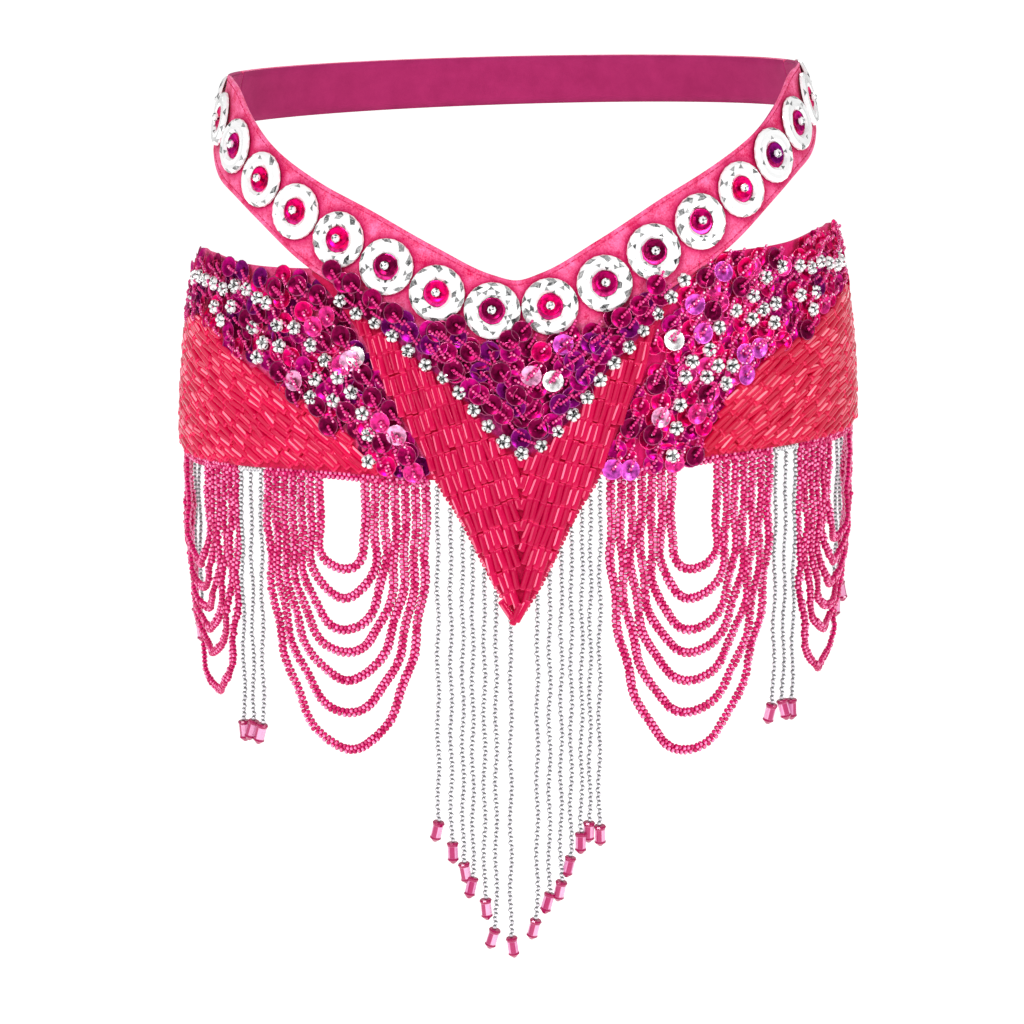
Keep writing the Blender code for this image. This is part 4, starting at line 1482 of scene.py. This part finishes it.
def layout(name, columns, rows, lay, zones, trail):
    """A grid over a panel's face that carries the zones to scatter in and the way trails run."""
    mesh, places = laid_grid(name, columns, rows, lay)
    for zone, holds in zones.items():
        mark(mesh, zone, [float(holds(arc, level)) for arc, level, out in places])
    write_vectors(mesh, "drape", [directions(arc, level, trail(arc))[1] for arc, level, out in places])
    return mesh


def corners(name, rows, side, layer, lift, trail):
    """One vertex for each row of a table, with its facing, drape and tone."""
    mesh = bpy.data.meshes.new(name)
    places = [(side * row[0] / 1000, row[1] / 1000) for row in rows]
    mesh.from_pydata([hip_point(arc, level, layer + lift) for arc, level in places], [], [])
    ways = [directions(arc, level, trail(arc)) for arc, level in places]
    write_vectors(mesh, "facing", [facing for facing, way in ways])
    write_vectors(mesh, "drape", [way for facing, way in ways])
    mark(mesh, "tone", [row[2] if len(row) > 2 else 0.5 for row in rows])
    return mesh


SEQUIN_LIFT = 0.0006
PLACED_LIFT = 0.0030
FLOWER_LIFT = 0.0026
STRAP_COVER = 0.0050
SEQUINS_APART = 0.0056
FLOWERS_APART = 0.0105
BEADS_APART = 0.0036
MEASURED_TO = 0.198
CUP_REACH = 0.0018
BEAD_REACH = 0.0020
LEAN = 0.2
PLACED_LEAN = 0.14
V_SEQUINS_TO = 0.084
CLEAR_OF_V = 0.0015
CLEAR_OF_BORDER = 0.002
CLEAR_OF_TOP = 0.0025
FLOWERS_DOWN = 0.008
CORNER_FROM = 0.165
CORNER_DEPTH = 0.013


def lay_v_sequins(across, up):
    """The V panel's beaded part, carried over the strap's lower margin."""
    arc = between(-V_SEQUIN_REACH, V_SEQUINS_TO, across)
    top = strap_bottom(arc) + STRAP_COVER
    return arc, between(v_border(arc), top, up), OUTER_LAYER + CLOTH + SEQUIN_LIFT


def v_sequin_zone(arc, level):
    return level > v_border(arc) + 0.003


def side_sequin_zone(side):
    def zone(arc, level):
        clear_of_v = abs(arc) > side_front(side, level) + CLEAR_OF_V
        low = side_border(side, arc) + CLEAR_OF_BORDER
        return low < level < side_top(arc) - CLEAR_OF_TOP and clear_of_v
    return zone


def side_flower_zone(side):
    sequins = side_sequin_zone(side)
    return lambda arc, level: (sequins(arc, level) and abs(arc) > MEASURED_TO
                               and level < side_top(arc) - FLOWERS_DOWN)


def corner_bead_zone(arc, level):
    return abs(arc) > CORNER_FROM and side_top(arc) - CORNER_DEPTH < level < side_top(arc) - UNDER_TOP


# %% Sew on the sequins and flowers
CUP_AND_TRAIL = {"Cup": CUP, "Trail": TRAIL, "Cup Finish": SEQUIN_FOIL, "Trail Finish": TRAIL_GLASS}
FLOWER_ONLY = {"Cup": FLOWER, "Cup Finish": FLOWER_SILVER}
LOOSE_BEADS = {"Cup": SEED, "Cup Finish": SEED_GLASS}
SIDE_TONES = {-1: (0.04, 0.66), 1: (0.43, 0.76)}


def sewn(name, meshes):
    finished_piece(name, joined_meshes(name, meshes))


def scattered(layout_mesh, mask, apart, lift, tones, seed, model):
    return made_by(SCATTERED, mask, layout_mesh.copy(), Mask=mask, Apart=apart, Lift=lift, Darkest=tones[0],
                   Palest=tones[1], Lean=LEAN, Seed=seed, **model)


def placed(rows, side, layer, lift, trail, seed, model):
    points = corners("placed", rows, side, layer, lift, trail)
    return made_by(PLACED, "placed", points, Lean=PLACED_LEAN, Seed=seed, **model)


v_layout = layout("v_layout", 120, 60, lay_v_sequins, {"sequins": v_sequin_zone}, v_trail)
sewn("v_panel_sequins", [
    scattered(v_layout, "sequins", SEQUINS_APART, CUP_REACH, (0.0, 0.5), 81, CUP_AND_TRAIL),
    placed(V_SEQUINS, 1, OUTER_LAYER + CLOTH, PLACED_LIFT, v_trail, 82, CUP_AND_TRAIL)])
for side, word in SIDES.items():
    zones = {"sequins": side_sequin_zone(side), "flowers": side_flower_zone(side), "beads": corner_bead_zone}
    side_layout = layout(f"side_layout_{word}", 140, 60, lay_side_panel(side), zones, side_trail)
    sewn(f"side_panel_sequins_{word}", [
        scattered(side_layout, "sequins", SEQUINS_APART, CUP_REACH, SIDE_TONES[side], 84 + side, CUP_AND_TRAIL),
        scattered(side_layout, "beads", BEADS_APART, BEAD_REACH, (0.6, 1.0), 87 + side, LOOSE_BEADS),
        placed(SIDE_SEQUINS[side], side, CLOTH, PLACED_LIFT, side_trail, 90 + side, CUP_AND_TRAIL)])
    sewn(f"side_panel_flowers_{word}", [
        scattered(side_layout, "flowers", FLOWERS_APART, BEAD_REACH, (0.0, 1.0), 93 + side, FLOWER_ONLY),
        placed(SIDE_FLOWERS[side], side, CLOTH, FLOWER_LIFT, side_trail, 96 + side, FLOWER_ONLY)])

# %% The line of flowers on the V panel
FLOWER_PITCH = 0.0104
FLOWER_PIN = 0.001
FLOWER_SEAT = 0.0012


def on_v_border(arc, extra=0.0):
    return on_v(arc, v_border(arc), extra)


def flower_line():
    """Flowers a pitch apart along the V's chalk line, each on a short edge that points out of the cloth."""
    start, end = V_BORDER[0].arc, V_BORDER[-1].arc
    edges = []
    arcs = paced_arcs(on_v_border, start, FLOWER_PITCH * 0.4, FLOWER_PITCH)
    for arc in takewhile(lambda place: place - WALK_STEP < end, arcs):
        pin = hip_frame(arc, v_border(arc))[0] * FLOWER_PIN
        seat = on_v_border(arc, FLOWER_SEAT)
        edges.append([seat - pin, seat + pin])
    return edges


mesh = made_by(BEADS_ON_EDGES, "v_panel_flowers", path_mesh("v_panel_flowers", flower_line()), Bead=FLOWER,
               Spread=0.2, Loose=3.14, Seed=95, Finish=FLOWER_SILVER, **{"Full Length": 2 * FLOWER_PIN})
finished_piece("v_panel_flowers", mesh)

# %% [markdown]
# ## Discs
# Each disc is a moulded ring with a mirror back and cut facets, sewn through its hole with a cup sequin and
# a round faceted bead. Rings of points, each turned half a step from the last, give the triangular facets.

# %% One disc
RING_SECTION = table("radius height", [
    (0.0064, 0.0003), (0.0064, 0.0016), (0.0078, 0.0027), (0.0098, 0.0024), (0.0118, 0.0026), (0.0133, 0.0014),
    (0.0135, 0.0003)])
RING_SIDES = 20
# Chance, by row of the ring, that a facet gets a painted dark reflection.
DARK_FACETS = {1: 0.16, 2: 0.06, 3: 0.40, 4: 0.92}
FACET_JITTER = 0.0003
DARK_SHADES = (0.65, 1.0)
DISC_TONES = {
    -1: [.05, .58, .05, .58, .60, .58, .50, .70, .50],
    1: [.58, .30, .14, .40, .58, .20, .46, .58, .46],
}
UNDER_TONE = 0.72


def disc_ring(name, seed, dark_share):
    """The cut ring of one disc. Facets get painted dark reflections by chance, most of them on its outer slope.
    """
    chance = random.Random(seed)
    points, faces, shades = [], [], []
    rows = len(RING_SECTION)
    for row, section in enumerate(RING_SECTION):
        for side in range(RING_SIDES):
            turn = 2 * math.pi * (side + 0.5 * (row % 2)) / RING_SIDES
            reach = section.radius + chance.uniform(-FACET_JITTER, FACET_JITTER) * (0 < row < rows - 2)
            points.append((reach * math.cos(turn), reach * math.sin(turn), section.height))
    for row in range(rows):
        near, far = row * RING_SIDES, ((row + 1) % rows) * RING_SIDES
        for side in range(RING_SIDES):
            after = (side + 1) % RING_SIDES
            facets = [(near + side, far + side, near + after), (near + after, far + side, far + after)]
            if row % 2:
                facets = [(near + side, far + side, far + after), (near + side, far + after, near + after)]
            faces.extend(facets)
            darkened = dark_share * DARK_FACETS.get(row, 0.0) * (side % 2 == 0 or row < 3)
            shades.extend(chance.uniform(*DARK_SHADES) if chance.random() < darkened else 0.0
                          for facet in facets)
    ring = bpy.data.meshes.new(name)
    ring.from_pydata(points, [], faces)
    mark(ring, "cut", shades, "FACE")
    ring.materials.append(SILVER)
    return ring


def evenly(place):
    return 1.0


def height_and_turn(face):
    return round(face.center.z, 5), round(math.atan2(face.center.y, face.center.x), 2)


def disc_bead():
    """A round bead with eight cut sides. A few facets carry painted dark reflections, counted round it from its
    lower end.
    """
    profile = [(0.0, -0.0019), (0.0012, -0.0016), (0.0021, -0.0005), (0.0021, 0.0006), (0.0013, 0.0016),
               (0.0, 0.0019)]
    bead = turned_shape("disc_bead", profile, 8, evenly, smooth=False)
    counted = sorted(bead.data.polygons, key=height_and_turn)
    dark = [face.index for number, face in enumerate(counted) if number % 7 in (1, 4)]
    mark(bead.data, "cut", [1.0 if face.index in dark else 0.1 for face in bead.data.polygons], "FACE")
    return bead


DISC_SEQUIN = turned_shape("disc_sequin", cup_profile(SEQUIN_RADIUS, CUP_DEPTH, FILM), 24, evenly)
UNDER_SEQUIN = turned_shape("under_sequin", cup_profile(0.0063, 0.0002, FILM), 24, evenly)
DISC_BEAD = disc_bead()

# %% Set the discs along the strap
UNDER_PLACE = (0.0, 0.0, 0.0009)
SEQUIN_PLACE = (0.0002, 0.0008, 0.0016)
BEAD_PLACE = (0.0, 0.0005, 0.0033)
# Share of facets with painted dark reflections on the discs in front and on those at the sides.
DARK_IN_FRONT = 1.0
DARK_AT_SIDES = 0.4
DISCS_IN_FRONT = 4


def set_disc(name, arc, tone, seed, dark_share):
    facing, across, up = hip_frame(arc, strap_middle(arc))
    seat = hip_point(arc, strap_middle(arc), OUTER_LAYER) + facing * (CLOTH + SEAM)
    stand = Matrix.Translation(seat) @ Matrix((across, facing.cross(across), facing)).transposed().to_4x4()
    parts = [disc_ring(name, seed, dark_share)]
    for shape, place, shade in ((UNDER_SEQUIN, UNDER_PLACE, UNDER_TONE), (DISC_SEQUIN, SEQUIN_PLACE, tone),
                                (DISC_BEAD, BEAD_PLACE, None)):
        part = shape.data.copy()
        part.transform(Matrix.Translation(place))
        if shade is not None:
            mark(part, "tone", [shade] * len(part.vertices))
        part.materials.append(SILVER if shade is None else SEQUIN_FOIL)
        parts.append(part)
    mesh = joined_meshes(name, parts)
    mesh.transform(stand)
    finished_piece(f"{name}_facets", mesh, [name])


for side, word in SIDES.items():
    for number, (arc, tone) in enumerate(zip(DISC_ARCS[side], DISC_TONES[side]), start=1):
        set_disc(f"disc_{word}_{number}", arc, tone, 100 + 20 * side + number,
                 DARK_IN_FRONT if number <= DISCS_IN_FRONT else DARK_AT_SIDES)

# %% [markdown]
# ## Stitching
# A lockstitch runs beside each rolled edge of the strap. One stitch is a short fat length of thread, and
# the threading tree lays stitches along the line with a small gap between them.

# %% Stitch the strap
STITCH_LENGTH = 0.0026
STITCH_PITCH = 0.0034
STITCH_WIDTH = 0.0005
STITCH_STEPS = 260
STITCHES_STOP = 0.004
STITCH = turned_shape("stitch", bead_profile(STITCH_WIDTH, STITCH_LENGTH, 0.0, 0.0004), 6, evenly)


def stitch_line(edge, inset):
    return [hip_point(arc, edge(arc) + inset, OUTER_LAYER + CLOTH)
            for arc in steps_between(-STRAP_END + STITCHES_STOP, STRAP_END - STITCHES_STOP, STITCH_STEPS)]


lines = [stitch_line(strap_top, -STITCH_LINE), stitch_line(strap_bottom, STITCH_LINE)]
mesh = made_by(THREADED_PATH, "strap_stitches", path_mesh("strap_stitches", lines), Pitch=STITCH_PITCH,
               Bead=STITCH, Spread=0.1, Seed=5, Finish=THREAD)
finished_piece("strap_stitches", mesh)

# %% [markdown]
# ## Studio
# A pale floor, a soft light from the upper left, a weaker one from the right and a bright even sky.

# %% Floor, lights and camera
FLOOR_LEVEL = -0.95
FLOOR_SIZE = 60.0
FLOOR_GLOW = 0.62
SKY_GLOW = 0.5
BELT_MIDDLE = (0.0, 0.0, -0.18)
LIGHTS = [("key_light", (-1.0, -1.7, 1.2), 0.7, 25.0), ("fill_light", (1.5, -1.3, 0.5), 0.5, 11.0),
          ("back_light", (0.6, 1.6, 1.2), 0.8, 12.0)]
CAMERA_PLACE = (-0.001, -1.8272, 0.1294)
CAMERA_LOOKS_DOWN = 10.41
CAMERA_LENS = 128.9
CAMERA_SENSOR = 36.0


def floor():
    sheet = bmesh.new()
    bmesh.ops.create_grid(sheet, x_segments=4, y_segments=4, size=FLOOR_SIZE / 2)
    mesh = mesh_from("studio_floor", sheet)
    mesh.transform(Matrix.Translation((0.0, 0.0, FLOOR_LEVEL)))
    mesh.materials.append(new_material("pale_floor", {
        "Base Color": (0.93, 0.93, 0.93, 1.0), "Roughness": 0.9, "Emission Color": (1.0, 1.0, 1.0, 1.0),
        "Emission Strength": FLOOR_GLOW})[0])
    put_in_scene("studio_floor", mesh)


def area_light(name, place, size, power):
    lamp = bpy.data.lights.new(name, "AREA")
    lamp.shape = "DISK"
    lamp.size = size
    lamp.energy = power
    holder = put_in_scene(name, lamp)
    holder.location = place
    holder.rotation_euler = (Vector(BELT_MIDDLE) - Vector(place)).to_track_quat("-Z", "Y").to_euler()


def sky():
    world = bpy.data.worlds.new("studio_sky")
    world.use_nodes = True
    background = world.node_tree.nodes["Background"].inputs
    background["Color"].default_value = (1.0, 1.0, 1.0, 1.0)
    background["Strength"].default_value = SKY_GLOW
    bpy.context.scene.world = world


def studio_camera():
    camera = bpy.data.cameras.new("studio_camera")
    camera.lens = CAMERA_LENS
    camera.sensor_width = CAMERA_SENSOR
    holder = put_in_scene("studio_camera", camera)
    holder.location = CAMERA_PLACE
    holder.rotation_euler = (math.radians(90.0 - CAMERA_LOOKS_DOWN), 0.0, 0.0)
    bpy.context.scene.camera = holder


floor()
sky()
bpy.context.scene.view_settings.view_transform = "Standard"
for light in LIGHTS:
    area_light(*light)
studio_camera()
